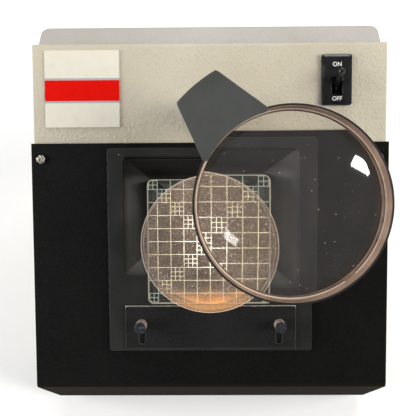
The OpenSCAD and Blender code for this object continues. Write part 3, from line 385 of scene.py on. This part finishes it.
def hammered_enamel(name, dark, light, roughness):
    """Cream or grey enamel with fine pebbles."""
    paint, tree, shader = new_finish(name, light, roughness, Specular_IOR_Level=0.45)
    coarse = pebbles(tree, PEBBLE)
    fine = grain(tree, FINE_PEBBLE, detail=3.0)
    drift = grain(tree, DRIFT, detail=3.0)
    mottle = plus(tree, times(tree, drift, 0.6), times(tree, fine, 0.4))
    feed(shader, "Base Color", colours(tree, mottle, [(0.36, dark), (0.62, light)]))
    feed(shader, "Roughness", band(tree, fine, roughness - 0.06, roughness + 0.10))
    height = plus(tree, times(tree, coarse, 0.8), times(tree, fine, 0.5))
    beads = dust(tree, BEAD_SPACING, BEAD, kept=0.85)
    height = plus(tree, height, times(tree, beads, 0.40))
    relief(tree, shader, height, ENAMEL_DEPTH, BENT_EDGE)
    return paint


cream = hammered_enamel("cream_enamel", (0.500, 0.452, 0.350), (0.585, 0.535, 0.425), 0.36)
# painted shade: the rear cover's enamel is the cabinet's cream made darker and greyer, for a top
# that lies in less light
grey = hammered_enamel("grey_enamel", (0.385, 0.360, 0.325), (0.450, 0.425, 0.390), 0.38)
dress(cream, "cabinet")
dress(grey, "rear_cover")

# %% [markdown]
# ## Black satin paint
# The lower face, the dish rest and the base plate are painted black. Black paint shows what a
# flat black cannot: a very fine grain, corners rubbed by hands, and dust, which is a sparse
# scatter of specks picked out of a cell pattern by chance. The dish rest's top edge carries a
# painted highlight, a speckled pale line where the edge faces the light. The front wall, which
# turns away from the light, gets painted shade: a dull brown.

# %% Black paint
DUST_GREY, SHADED_WALL_BROWN = (0.42, 0.40, 0.36), (0.0100, 0.0058, 0.0022)
WALL_ENDS, FACE_STARTS = -0.1292, -0.1280  # along the room's y


def black_paint(
    name,
    colour,
    wear_and_highlight,
    roughness,
    rub,
    specks=0.12,
    grain_size=0.0007,
    gloss=0.15,
    reach=0.0006,
    painted_highlight_from=None,
):
    """Satin black enamel with fine grain, rubbed corners, a little dust, painted shade on the
    front wall and, if asked, a painted highlight on the top edge.
    """
    paint, tree, shader = new_finish(name, colour, roughness, Specular_IOR_Level=gloss)
    fine = grain(tree, grain_size, detail=3.0)
    patch = grain(tree, 0.035, detail=4.0)
    base = colours(tree, patch, [(0.35, colour), (0.7, brighter(colour, 1.35))])
    base = blend(tree, band(tree, fine, 0.0, 0.8, 0.42, 0.66), base, brighter(colour, 2.4))
    share = times(tree, corner_wear(tree, reach), rub)
    # painted highlight: the rubbed colour is kept to a speckled pale line along the top edge
    if painted_highlight_from:
        up_the_face = face_axes(tree, FACE_FOOT)["Y"]
        highlight_top_edge = band(tree, up_the_face, 0.09, 1.0, painted_highlight_from - 0.0004, painted_highlight_from)
        patchy = band(tree, grain(tree, 0.0016), 0.70, 1.0, 0.42, 0.55)
        share = times(tree, share, times(tree, highlight_top_edge, patchy))
    rubbed = blend(tree, share, base, wear_and_highlight)
    dusty = blend(tree, dust(tree, 0.011, 0.0006, specks), rubbed, DUST_GREY)
    # painted shade: the front wall is given a dull brown and a rougher surface
    depth = put(tree, "SeparateXYZ", {"Vector": own_place(tree)}).outputs["Y"]
    upright = band(tree, depth, 1.0, 0.0, WALL_ENDS, FACE_STARTS)
    feed(shader, "Base Color", blend(tree, upright, dusty, SHADED_WALL_BROWN))
    shine = band(tree, patch, roughness - 0.05, roughness + 0.09)
    feed(shader, "Roughness", reckon(tree, "MAXIMUM", shine, times(tree, upright, 0.95)))
    relief(tree, shader, fine, depth=0.00008, soft_edge=0.0004)
    return paint


print("black_paint takes a colour, a worn colour and how far its corners are rubbed")

# %% Paint the panel, the dish rest and the base
panel_black = black_paint(
    "panel_black",
    colour=(0.0037, 0.0036, 0.0034),
    wear_and_highlight=(0.050, 0.048, 0.044),
    roughness=0.56,
    rub=0.8,
    grain_size=0.0013,
    gloss=0.09,
)
rest_top = max(along_face(v.co).y for v in part["dish_rest"].data.vertices)
rest_black = black_paint(
    "rest_black",
    colour=(0.0092, 0.0092, 0.0092),
    wear_and_highlight=(0.80, 0.74, 0.60),
    roughness=0.46,
    rub=1.0,
    specks=0.2,
    reach=0.0013,
    painted_highlight_from=rest_top - 0.0014,
)
base_black = black_paint("base_black", (0.035, 0.035, 0.037), (0.10, 0.10, 0.10), 0.5, 0.5)
dress(panel_black, "front_panel")
dress(rest_black, "dish_rest")
dress(base_black, "base_plate")

# %% [markdown]
# ## Moulded stage
# The stage frame and the finger recess are one black moulding. Moulded plastic takes the texture
# of its steel tool, a spark-eroded grain. The recess's sloping walls are painted a lighter grey,
# painted light where they face the light, and its upper wall gets a darker painted shade. Its
# corners are rubbed by years of glass plates and fingers.

# %% Stage moulding
RECESS_FLOOR, FRAME_TOP = -0.012, -0.001  # out of the face
SHADE_STARTS, SHADE_FULL = 0.044, 0.052  # up the face

moulding, tree, shader = new_finish(
    "stage_moulding", (0.020, 0.020, 0.0195), roughness=0.42, Specular_IOR_Level=0.4
)
haze = grain(tree, 0.03, detail=3.0)
place = face_axes(tree, PLATE_MIDDLE)
# painted light on the recess walls and painted shade on the upper wall
sunk = band(tree, place["Z"], 1.0, 0.0, RECESS_FLOOR, FRAME_TOP)
painted_shade_share = band(tree, place["Y"], 0.0, 1.0, SHADE_STARTS, SHADE_FULL)
ground = colours(tree, haze, [(0.35, (0.0125, 0.0122, 0.0114)), (0.7, (0.0190, 0.0186, 0.0175))])
painted_light_recess = colours(tree, haze, [(0.35, (0.150, 0.147, 0.138)), (0.7, (0.215, 0.211, 0.199))])
toned = blend(tree, sunk, ground, blend(tree, painted_shade_share, painted_light_recess, (0.026, 0.025, 0.023)))
rubbed = times(tree, corner_wear(tree, reach=0.0005), 0.55)
toned = blend(tree, rubbed, toned, (0.10, 0.098, 0.092))
specks = dust(tree, spacing=0.010, size=0.0005, kept=0.15)
feed(shader, "Base Color", blend(tree, specks, toned, (0.35, 0.33, 0.30)))
feed(shader, "Roughness", band(tree, haze, 0.36, 0.52))
relief(tree, shader, grain(tree, 0.0005), depth=0.000025, soft_edge=0.0004)
dress(moulding, "stage")

# %% [markdown]
# ## Arm cover and lens ring
# The arm's cover is sprayed matt slate grey. The ring is black anodised aluminium outside. Its
# inner wall is painted a warm bronze, a painted reflection of warm surroundings, which shows as a
# brown crescent where one looks into the ring, so the finish asks how far it is from the lens's
# axis and changes there.

# %% Slate cover
slate, tree, shader = new_finish(
    "slate_paint", (0.058, 0.061, 0.058), roughness=0.55, Specular_IOR_Level=0.4
)
fine = grain(tree, 0.0006, detail=3.0)
patch = grain(tree, 0.02, detail=3.0)
tone = plus(tree, times(tree, fine, 0.5), times(tree, patch, 0.5))
body = colours(tree, tone, [(0.35, (0.050, 0.053, 0.0505)), (0.65, (0.067, 0.070, 0.066))])
rubbed = times(tree, corner_wear(tree, reach=0.0006), 0.5)
feed(shader, "Base Color", blend(tree, rubbed, body, (0.20, 0.19, 0.17)))
feed(shader, "Roughness", band(tree, patch, 0.48, 0.62))
relief(tree, shader, fine, depth=0.00006, soft_edge=0.0006)
dress(slate, "arm_cover")

# %% Lens ring
RING_BORE, BORE_FADE = 0.0636, 0.00015

ring_black, tree, shader = new_finish("ring_black", (0.012, 0.011, 0.011), roughness=0.36)
cloud = grain(tree, 0.012, detail=3.0)
from_axis = face_radius(tree, LENS_MIDDLE)
inside = band(tree, from_axis, 1.0, 0.0, RING_BORE - BORE_FADE, RING_BORE + BORE_FADE)
# painted reflection: the inner wall's bronze stands for warm surroundings mirrored in it
bronze_painted_reflection = colours(tree, cloud, [(0.3, (0.17, 0.105, 0.075)), (0.7, (0.29, 0.20, 0.145))])
outside = colours(tree, cloud, [(0.3, (0.009, 0.0085, 0.0085)), (0.7, (0.016, 0.015, 0.0145))])
rubbed = times(tree, corner_wear(tree, reach=0.0005), 0.45)
outside = blend(tree, rubbed, outside, (0.09, 0.08, 0.07))
feed(shader, "Base Color", blend(tree, inside, outside, bronze_painted_reflection))
feed(shader, "Roughness", band(tree, cloud, 0.30, 0.46))
relief(tree, shader, grain(tree, 0.0008), depth=0.00002, soft_edge=0.0003)
dress(ring_black, "lens_mount")

# %% [markdown]
# ## Glass
# The lens and the guide plate are clear solids with a real thickness, so light bends in them
# and the ruled squares really look larger through the lens. Where a shadow is being worked
# out, the glass steps aside and lets the light straight through, as thin clear glass nearly
# does. Glass that is handled is never clean, so a little diffuse dust and a wiped film lie on
# it.

# %% Clear solids
POLISH, SMEAR = 0.034, 0.012  # roughness, and what a fingermark adds


def either(tree, share, first, second):
    """One shader, or another where the share is 1."""
    mixer = put(tree, "MixShader", {"Fac": share})
    tree.links.new(first, mixer.inputs[1])
    tree.links.new(second, mixer.inputs[2])
    return mixer.outputs["Shader"]


def clear_solid(name, colour, ior, roughness=POLISH, specks=None):
    """Glass that refracts, lets light through to what lies under it and carries dust."""
    glass, tree, shader = new_finish(name, colour, roughness, IOR=ior, Transmission_Weight=1.0)
    smear = grain(tree, 0.02, detail=4.0)
    feed(shader, "Roughness", band(tree, smear, roughness, roughness + SMEAR, 0.45, 0.8))
    surface = shader.outputs["BSDF"]
    if specks:
        fluff = put(tree, "BsdfDiffuse", {"Color": (0.80, 0.58, 0.40, 1.0)})
        wiped = band(tree, smear, 0.0, 0.012, 0.38, 0.75)
        where = reckon(tree, "MAXIMUM", dust(tree, *specks), wiped)
        surface = either(tree, where, surface, fluff.outputs["BSDF"])
    through = put(tree, "BsdfTransparent", {"Color": (*colour, 1.0)}).outputs["BSDF"]
    in_shadow = put(tree, "LightPath").outputs["Is Shadow Ray"]
    surface = either(tree, in_shadow, surface, through)
    tree.links.new(surface, tree.nodes["Material Output"].inputs["Surface"])
    return glass, tree, shader


print("clear glass: clear_solid, with either to choose between two shaders")

# %% Lens glass
LENS_DUST = (0.0045, 0.00042, 0.35)  # spacing, size and share of the specks
LENS_TINT, LENS_IOR = (0.990, 0.972, 0.935), 1.495

lens_glass, tree, shader = clear_solid("lens_glass", LENS_TINT, LENS_IOR, specks=LENS_DUST)
shader.inputs["Coat Weight"].default_value = 0.8
shader.inputs["Coat Roughness"].default_value = 0.05
print(lens_glass.name, "refracts by", round(shader.inputs["IOR"].default_value, 3))

# %% [markdown]
# ## Guide plate
# The plate's edge is ground, not polished, so it catches the lamp and shows as a pale line all
# round. A faint glow stands in for it, and the distance from a square with round corners says
# where the edge is.


# %% Ground edge of the plate
def out_of_square(tree, place, half_side, corner_radius):
    """Distance from the inner square whose corners are the centres of the round ones."""
    past = []
    for name in "XY":
        across = reckon(tree, "ABSOLUTE", place[name])
        past.append(reckon(tree, "SUBTRACT", across, half_side - corner_radius))
    outside = [reckon(tree, "MAXIMUM", side, 0.0) for side in past]
    squares = [times(tree, side, side) for side in outside]
    corner = reckon(tree, "SQRT", plus(tree, *squares))
    inside = reckon(tree, "MINIMUM", reckon(tree, "MAXIMUM", *past), 0.0)
    return plus(tree, corner, inside)


PLATE_HALF, PLATE_CORNER = 0.0475, 0.0045
GRINDING_STARTS, GRINDING_FULL = PLATE_CORNER - 0.0007, PLATE_CORNER - 0.0004

plate_glass, tree, shader = clear_solid("plate_glass", (0.95, 0.985, 0.97), 1.52)
away = out_of_square(tree, face_axes(tree, PLATE_MIDDLE), PLATE_HALF, PLATE_CORNER)
ground_edge = band(tree, away, 0.0, 0.9, GRINDING_STARTS, GRINDING_FULL)
glow = put(tree, "Emission", {"Color": (0.80, 0.72, 0.55, 1.0), "Strength": 0.5})
to_output = tree.nodes["Material Output"].inputs["Surface"]
clear = to_output.links[0].from_socket
tree.links.new(either(tree, ground_edge, clear, glow.outputs["Emission"]), to_output)
dress(plate_glass, "guide_plate")

# %% [markdown]
# ## Lens
# A lens is ground to two spheres, and every highlight on it is a small picture of a lamp. Flat
# facets would break that picture up, so the lens is turned afresh like wood on a lathe: one
# profile, swung round the axis in many fine steps. It takes the place of the model's lens, with
# the same radii and the same thickness at the edge.

# %% Profile of the lens
LENS_RADIUS, FACE_CURVE, EDGE_THICKNESS = 0.063, 0.270, 0.002


def lens_height(radius):
    """Half the lens's thickness at a distance from its axis."""
    flat = math.sqrt(FACE_CURVE**2 - LENS_RADIUS**2)
    return math.sqrt(FACE_CURVE**2 - radius**2) - flat + EDGE_THICKNESS / 2


def lens_point(radius, turn, height):
    """A point of the lens, in the room."""
    spoke = Vector((radius * math.cos(turn), radius * math.sin(turn), height))
    return LENS_MIDDLE + FACE_TURN @ spoke


print("lens:", round(2000 * lens_height(0), 1), "mm thick in the middle")

# %% Turn the lens
RINGS, STEPS = 36, 192

turns = [math.tau * step / STEPS for step in range(STEPS)]
points, faces = [], []
for side in (1, -1):
    first = len(points)
    points.append(lens_point(0, 0, side * lens_height(0)))
    for ring in range(1, RINGS + 1):
        radius = LENS_RADIUS * ring / RINGS
        points += [lens_point(radius, turn, side * lens_height(radius)) for turn in turns]
    for step in range(STEPS):
        after = (step + 1) % STEPS
        corners = [(first, first + 1 + step, first + 1 + after)]
        for ring in range(RINGS - 1):
            inner = first + 1 + ring * STEPS
            outer = inner + STEPS
            corners.append((inner + step, outer + step, outer + after, inner + after))
        faces += [face if side > 0 else face[::-1] for face in corners]
rims = [1 + (RINGS - 1) * STEPS, 2 + (2 * RINGS - 1) * STEPS]
for step in range(STEPS):
    after = (step + 1) % STEPS
    faces.append((rims[0] + step, rims[1] + step, rims[1] + after, rims[0] + after))
print("lens:", len(points), "points and", len(faces), "faces")

# %% Put the lens in its ring
turned_mesh = bpy.data.meshes.new("turned_lens")
turned_mesh.from_pydata(points, [], faces)
turned_mesh.validate()
turned_mesh.materials.append(lens_glass)
turned_lens = bpy.data.objects.new("turned_lens", turned_mesh)
bpy.context.scene.collection.objects.link(turned_lens)
turned_mesh.shade_smooth()
turned_mesh.set_sharp_from_angle(angle=math.radians(30))
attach(turned_lens, "magnifier")
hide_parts("lens")
print("turned_lens rides on the magnifier and stands for the model's lens")

# %% [markdown]
# ## Dish
# A disposable dish is thin, clear polystyrene. It bends light so little that it is better made as
# a see-through skin with a gloss on it: the ruled lines stay crisp through it. What one sees of
# it is moisture on the inside of the lid, a brown haze with fine pale droplets, an orange glow at
# the front, which is painted light where the lamp strikes it, and its rims, which carry a painted
# highlight, pale and bright, where one looks along the wall.

# %% Thin polystyrene
LID_RADIUS, LID_SKIRT, LID_TOP = 0.0497, 0.0050, 0.0164
BASE_RADIUS, BASE_FOOT = 0.0477, 0.0000
RIM_PAINTED_HIGHLIGHT, PAINTED_LAMP_ORANGE, DROPLET = (0.86, 0.70, 0.58), (1.0, 0.56, 0.25), (1.0, 0.93, 0.86)
MIST = [(0.35, (0.27, 0.18, 0.13)), (0.56, (0.43, 0.315, 0.24)), (0.64, (1.0, 0.90, 0.80))]


def thin_polystyrene(name, haze, rim, skirt, shine=0.62):
    """A see-through skin, hazy on its flats, with a painted highlight on its corners and painted
    lamp light at its front.
    """
    gloss = {"IOR": 1.45, "Specular_IOR_Level": 0.4}
    skin, tree, shader = new_finish(name, (0.30, 0.25, 0.21), 0.12, **gloss)
    place = face_axes(tree, DISH_MIDDLE)
    mist = grain(tree, 0.0007, detail=3.0)
    breath = grain(tree, 0.014, detail=3.0)
    # the wall, and the corners at its foot and at its top, which carry the painted rim highlight
    wall = band(tree, face_radius(tree, DISH_MIDDLE), 0.0, 1.0, rim - 0.0003, rim + 0.0002)
    foot = band(tree, place["Z"], 1.0, 0.0, skirt + 0.0004, skirt + 0.0008)
    top = band(tree, place["Z"], 0.0, 1.0, LID_TOP - 0.0002, LID_TOP + 0.0002)
    corner = times(tree, reckon(tree, "MAXIMUM", foot, top), wall)
    # the front, with an uneven border, which gets the painted orange lamp light
    border = plus(tree, place["Y"], band(tree, breath, -0.004, 0.004))
    front = band(tree, border, 1.0, 0.0, -0.046, -0.030)
    drops = times(tree, dust(tree, spacing=0.0021, size=0.00048, kept=0.50), 3.0 * haze)
    misted = blend(tree, drops, colours(tree, mist, MIST), DROPLET)
    lit = blend(tree, front, misted, PAINTED_LAMP_ORANGE)
    feed(shader, "Base Color", blend(tree, corner, lit, RIM_PAINTED_HIGHLIGHT))
    cover = plus(tree, band(tree, breath, 0.75 * haze, 1.25 * haze), times(tree, front, 0.08))
    cover = plus(tree, cover, times(tree, drops, 0.45))
    cover = reckon(tree, "SUBTRACT", cover, times(tree, wall, 0.6 * haze))
    feed(shader, "Alpha", plus(tree, cover, times(tree, corner, shine)))
    relief(tree, shader, breath, depth=0.00002)
    return skin


lid_skin = thin_polystyrene("dish_lid_skin", 0.24, LID_RADIUS, LID_SKIRT)
base_skin = thin_polystyrene("dish_base_skin", 0.03, BASE_RADIUS, BASE_FOOT, shine=0.30)
dress(lid_skin, "dish_lid")
dress(base_skin, "dish_base")

# %% [markdown]
# ## Ruled lines
# The grooves in the guide plate are filled with pale paint. In dark-field light they glow: the
# lamp's light runs up past the black stop, strikes the lines from the side and leaves the
# ground between them dark. The glow is a weak emission. It is white at the middle, creamier
# further out and cold at the corners, where the light has come through the most glass.

# %% Ruling
PLATE_REACH = 0.066  # from the middle nearly to the corners
GLOW_BY_RADIUS = [
    (0.0, (1.0, 1.0, 0.97)),
    (0.28, (0.92, 0.91, 0.82)),
    (0.44, (0.60, 0.555, 0.42)),
    (0.70, (0.57, 0.52, 0.36)),
    (0.80, (0.165, 0.18, 0.15)),
]

line_paint, tree, shader = new_finish(
    "line_paint", (0.80, 0.76, 0.55), roughness=0.5, Emission_Strength=1.9
)
from_middle = face_radius(tree, PLATE_MIDDLE)
tint = colours(tree, band(tree, from_middle, 0.0, 1.0, 0.0, PLATE_REACH), GLOW_BY_RADIUS)
flaws = band(tree, grain(tree, 0.004, detail=3.0), 0.30, 0.0, 0.30, 0.42)
faded = blend(tree, flaws, tint, (0.24, 0.21, 0.14))
feed(shader, "Base Color", faded)
feed(shader, "Emission Color", faded)
dress(line_paint, "ruling")

# %% [markdown]
# ## Agar
# The medium is a thin brown gel. It is not opaque, as the lines shine through it, and it is full
# of pale specks: the first colonies, many small ones and a few larger, which also glow faintly as
# painted light. They could be thousands of tiny beads, but specks in the finish look the same
# from a reading distance. The gel's front edge is given painted light, an orange colour and glow
# where the lamp would strike it.

# %% Gel
gel, tree, shader = new_finish(
    "agar_gel", (0.20, 0.145, 0.12), roughness=0.22, Alpha=0.12, Emission_Strength=1.9
)
cloud = grain(tree, 0.012, detail=3.0)
body = colours(tree, cloud, [(0.3, (0.30, 0.205, 0.16)), (0.7, (0.38, 0.27, 0.215))])
border = plus(tree, face_axes(tree, DISH_MIDDLE)["Y"], band(tree, cloud, -0.003, 0.003))
# painted light: the front edge is marked for an orange glow
front = band(tree, border, 1.0, 0.0, -0.046, -0.034)
lit = colours(tree, front, [(0.0, (0.0, 0.0, 0.0)), (1.0, (0.95, 0.40, 0.11))])
print(gel.name, "is clear at the back and glows at the front")

# %% Colonies in the gel
small = dust(tree, spacing=0.0015, size=0.00040, kept=0.55)
large = dust(tree, spacing=0.0042, size=0.00062, kept=0.40)
crowd = band(tree, cloud, 0.25, 0.9)
colonies = reckon(tree, "MAXIMUM", times(tree, small, crowd), large)
spotted = blend(tree, colonies, body, (0.90, 0.80, 0.72))
# painted light: orange colour at the front, and an emission glow on the colonies and the front
# edge
feed(shader, "Base Color", blend(tree, front, spotted, (0.85, 0.30, 0.06)))
feed(shader, "Emission Color", blend(tree, times(tree, colonies, 0.6), lit, (0.42, 0.37, 0.33)))
thick = plus(tree, times(tree, colonies, 0.50), times(tree, front, 0.16))
feed(shader, "Alpha", plus(tree, thick, 0.12))
relief(tree, shader, grain(tree, 0.0007, detail=3.0), depth=0.00005)
dress(gel, "agar")

# %% [markdown]
# ## Metals
# Screws are cut from bright steel, the post is chromed so that the sleeve slides on it, and the
# washer is brass. Turned metal is never even: fine noise stands for the marks of the tool, and
# wider noise varies how sharply it shines. One function makes them all.


# %% Metal finish
def turned_metal(name, dark, light, roughness, spread=0.10):
    """Bare metal with fine tool marks and a shine that varies."""
    metal, tree, shader = new_finish(name, light, roughness, metallic=1.0)
    cloud = grain(tree, 0.006, detail=3.0)
    feed(shader, "Base Color", colours(tree, cloud, [(0.3, dark), (0.7, light)]))
    feed(shader, "Roughness", band(tree, cloud, roughness, roughness + spread))
    relief(tree, shader, grain(tree, 0.0005), depth=0.00001, soft_edge=0.0003)
    return metal


steel = turned_metal("screw_steel", (0.42, 0.41, 0.40), (0.62, 0.61, 0.59), 0.30)
alloy = turned_metal("bushing_alloy", (0.33, 0.33, 0.34), (0.46, 0.46, 0.47), 0.36)
sleeve = turned_metal("sleeve_steel", (0.38, 0.39, 0.41), (0.52, 0.53, 0.55), 0.26)
chrome = turned_metal("post_chrome", (0.60, 0.61, 0.63), (0.70, 0.71, 0.73), 0.08, spread=0.06)
brass = turned_metal("washer_brass", (0.48, 0.33, 0.12), (0.66, 0.47, 0.19), 0.28)
lamp_brass = turned_metal("lamp_brass", (0.50, 0.36, 0.12), (0.66, 0.50, 0.20), 0.30)
print("metals:", [metal.name for metal in (steel, alloy, sleeve, chrome, brass, lamp_brass)])

# %% Put the metals on
dress(steel, "foot_screws", "cover_standoffs", "rear_cover_screws", "stage_nuts")
dress(steel, "reflector_screws", "terminal_screws", "bushing_nut", "friction_screw")
dress(steel, "post_clip", "arm_screws")
dress(alloy, "post_bushing")
dress(sleeve, "focus_sleeve", "focus_stop")
dress(chrome, "lens_post")
dress(brass, "thrust_washer")
dress(lamp_brass, "lamp_base")

# %% [markdown]
# ## Thumbscrews and domed screws
# The thumbscrews are blued steel with a dark flat top. Their sides carry a painted reflection, a
# warm bare-metal colour that stands for the dish's orange glow mirrored in them. The panel's
# screws have domed heads, which mirror the light as one round spot. The model's heads are flat,
# so their wide soft edge is part of the finish, and tarnish keeps them from being mirrors.

# %% Thumbscrews
thumb, tree, shader = new_finish("thumb_steel", (0.6, 0.5, 0.45), roughness=0.26, metallic=0.6)
head_top = max(along_face(v.co).z for v in part["thumbscrew_left"].data.vertices)
out = face_axes(tree, FACE_FOOT)["Z"]
blued = band(tree, out, 0.0, 1.0, head_top - 0.0005, head_top - 0.0002)
cloud = grain(tree, 0.0016, detail=3.0)
# painted reflection: the sides' warm colour stands for the dish's glow mirrored in the metal
side_painted_reflection = colours(tree, cloud, [(0.3, (0.55, 0.40, 0.34)), (0.7, (0.85, 0.68, 0.60))])
blues = [(0.3, (0.030, 0.034, 0.042)), (0.62, (0.060, 0.066, 0.078)), (0.72, (0.22, 0.23, 0.25))]
feed(shader, "Base Color", blend(tree, blued, side_painted_reflection, colours(tree, cloud, blues)))
feed(shader, "Roughness", band(tree, cloud, 0.22, 0.42))
relief(tree, shader, grain(tree, 0.0004), depth=0.00002, soft_edge=0.0003)
dress(thumb, "thumbscrew_left", "thumbscrew_right")

# %% Domed heads of the panel's screws
domed, tree, shader = new_finish("domed_steel", (0.80, 0.74, 0.66), roughness=0.22, metallic=1.0)
tarnish = grain(tree, 0.0022, detail=3.0)
steels = [(0.35, (0.40, 0.33, 0.27)), (0.60, (0.92, 0.87, 0.80))]
feed(shader, "Base Color", colours(tree, tarnish, steels))
feed(shader, "Roughness", band(tree, tarnish, 0.34, 0.16))
relief(tree, shader, grain(tree, 0.0005), depth=0.00001, soft_edge=0.0016)
dress(domed, "panel_screws")

# %% [markdown]
# ## Snap ring
# A sprung ring of coppery brass holds the lens in its mount. Its outer half is a painted
# highlight, bright as the line of light at the lens's edge, and its inner half is dull and dark,
# so the finish changes at a distance from the lens's axis, as the mount's does.

# %% Snap ring
RING_MIDDLE, HIGHLIGHT_EDGE_FADE = 0.0622, 0.00015

snap_ring, tree, shader = new_finish("snap_ring_brass", (0.9, 0.7, 0.55), 0.34, metallic=0.1)
from_axis = face_radius(tree, LENS_MIDDLE)
outer_half = band(tree, from_axis, 0.0, 1.0, RING_MIDDLE - HIGHLIGHT_EDGE_FADE, RING_MIDDLE + HIGHLIGHT_EDGE_FADE)
patina = grain(tree, 0.006, detail=3.0)
dull = colours(tree, patina, [(0.3, (0.09, 0.060, 0.045)), (0.7, (0.15, 0.105, 0.08))])
# painted highlight: the outer half's bright brass stands for the line of light at the lens's edge
painted_highlight_brass = colours(tree, patina, [(0.3, (0.92, 0.70, 0.54)), (0.7, (1.0, 0.86, 0.70))])
feed(shader, "Base Color", blend(tree, outer_half, dull, painted_highlight_brass))
feed(shader, "Roughness", band(tree, patina, 0.26, 0.42))
relief(tree, shader, grain(tree, 0.0005), depth=0.00001, soft_edge=0.0003)
dress(snap_ring, "lens_retainer")

# %% [markdown]
# ## Switch and name plate
# The switch and its plate are gloss black phenolic, which shows the room in its bevels and
# fingermarks in its shine. The name plate is enamelled sheet in three fields, cream, red and
# cream, with a bare metal line on each side of the red. The fields follow the height up the
# face, so one ramp with hard steps draws them. The plate carries no lettering.

# %% Switch
phenolic, tree, shader = new_finish(
    "black_phenolic", (0.0055, 0.0055, 0.006), roughness=0.14, Specular_IOR_Level=0.55
)
smudge = grain(tree, 0.006, detail=4.0)
blacks = [(0.3, (0.0045, 0.0045, 0.005)), (0.75, (0.012, 0.012, 0.012))]
feed(shader, "Base Color", colours(tree, smudge, blacks))
feed(shader, "Roughness", band(tree, smudge, 0.08, 0.30, 0.35, 0.75))
relief(tree, shader, grain(tree, 0.003), depth=0.00002, soft_edge=0.0006)
dress(phenolic, "switch_plate", "switch_body", "switch_lever", "cord_bush")

# %% Name plate
CREAM, RED, SILVER = (0.735, 0.700, 0.590), (0.70, 0.0045, 0.001), (0.40, 0.41, 0.43)
NAME_PLATE_FOOT, NAME_PLATE_LENGTH = on_face(0, 200.1, 1), 0.0578
FIELDS = [(0.0, CREAM), (0.316, SILVER), (0.343, RED), (0.613, SILVER), (0.640, CREAM)]

enamel, tree, shader = new_finish("name_plate_enamel", CREAM, 0.32, Specular_IOR_Level=0.15)
up_the_plate = face_axes(tree, NAME_PLATE_FOOT)["Y"]
height = band(tree, up_the_plate, 0.0, 1.0, 0.0, NAME_PLATE_LENGTH)
fields = colours(tree, height, FIELDS, "CONSTANT")
age = grain(tree, 0.008, detail=4.0)
film = colours(tree, age, [(0.3, (0.97, 0.97, 0.95)), (0.6, (1, 1, 1))])
feed(shader, "Base Color", blend(tree, 1.0, fields, film, "MULTIPLY"))
feed(shader, "Roughness", band(tree, age, 0.24, 0.40))
relief(tree, shader, grain(tree, 0.0012), depth=0.00001, soft_edge=0.0004)
dress(enamel, "name_plate")

# %% [markdown]
# ## Pieces inside and underneath
# Few people see the lamp, its white reflector, the black stop over it or the rubber feet, but
# they show through the plate, from below and when the part is taken apart. Each has its own
# finish: chalky white enamel, soot black, glazed porcelain, frosted glass and dull rubber.


# %% Plain finishes with their own grain
def plain(name, dark, light, roughness, size, depth):
    """An even finish with grain in its colour, its shine and its surface."""
    made, tree, shader = new_finish(name, light, roughness)
    texture = grain(tree, size, detail=3.0)
    feed(shader, "Base Color", colours(tree, texture, [(0.3, dark), (0.7, light)]))
    feed(shader, "Roughness", band(tree, texture, roughness - 0.04, roughness + 0.06))
    relief(tree, shader, texture, depth, soft_edge=0.0005)
    return made


rubber = plain(
    "foot_rubber", (0.010, 0.010, 0.010), (0.020, 0.0195, 0.019), 0.80, size=0.0008, depth=0.00006
)
soot = plain(
    "soot_black", (0.003, 0.003, 0.003), (0.006, 0.006, 0.006), 0.85, size=0.0006, depth=0.00003
)
chalky = plain(
    "white_enamel", (0.74, 0.72, 0.67), (0.84, 0.82, 0.77), 0.60, size=0.003, depth=0.00004
)
glazed = plain(
    "porcelain", (0.66, 0.63, 0.55), (0.78, 0.75, 0.67), 0.18, size=0.004, depth=0.00003
)
frosted, tree, shader = clear_solid("frosted_glass", (0.95, 0.94, 0.90), 1.5, roughness=0.45)
dress(rubber, "feet")
dress(soot, "darkfield_stop")
dress(chalky, "reflector")
dress(glazed, "lamp_socket", "terminal_block")
dress(frosted, "lamp_bulb")

# %% [markdown]
# ## Lettering on the switch
# ON and OFF are hot-stamped in white, and stand a few hundredths of a millimetre proud of the
# plate. They could be painted by the plate's finish, but text objects give real letter shapes
# with a real thickness. Each one lies on the plate's flat, above and below the lever's slot.

# %% Stamp the words
PLATE_FLAT = 3.5  # millimetres out of the face
STAMP_THICKNESS, STROKE_SPREAD = 0.00006, 0.00012
stamp_white = plain(
    "stamp_white", (0.62, 0.61, 0.58), (0.82, 0.81, 0.78), 0.5, size=0.0006, depth=0.00002
)
low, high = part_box("switch_plate")
plate_across = (low.x + high.x) / 2 * 1000


def stamp(name, word, up, size):
    """A raised word on the switch's plate."""
    text = bpy.data.curves.new(name, "FONT")
    text.body = word
    text.align_x, text.align_y = "CENTER", "CENTER"
    text.size = size
    text.extrude = STAMP_THICKNESS
    text.offset = STROKE_SPREAD
    text.materials.append(stamp_white)
    letters = bpy.data.objects.new(name, text)
    letters.location = on_face(plate_across, up, PLATE_FLAT)
    letters.rotation_euler = (FACE_TILT, 0, 0)
    bpy.context.scene.collection.objects.link(letters)
    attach(letters, "housing")
    return letters


stamp("word_on", "ON", up=245.4, size=0.0044)
stamp("word_off", "OFF", up=220.0, size=0.0043)
print("words on the switch at", round(plate_across, 1), "mm")

# %% [markdown]
# ## Shading
# The model's faces come as flat facets. Round walls should shade as round and true corners stay
# sharp, so every edge where two faces meet at more than 30 degrees is marked sharp and the rest
# is smoothed. No point is moved.

# %% Smooth the round faces
for piece in part.values():
    piece.data.shade_smooth()
    piece.data.set_sharp_from_angle(angle=math.radians(30))
print("smoothed", len(part), "pieces")

# %% [markdown]
# ## Last update
# The scene is brought up to date once more.

# %% Update the scene
bpy.context.view_layer.update()
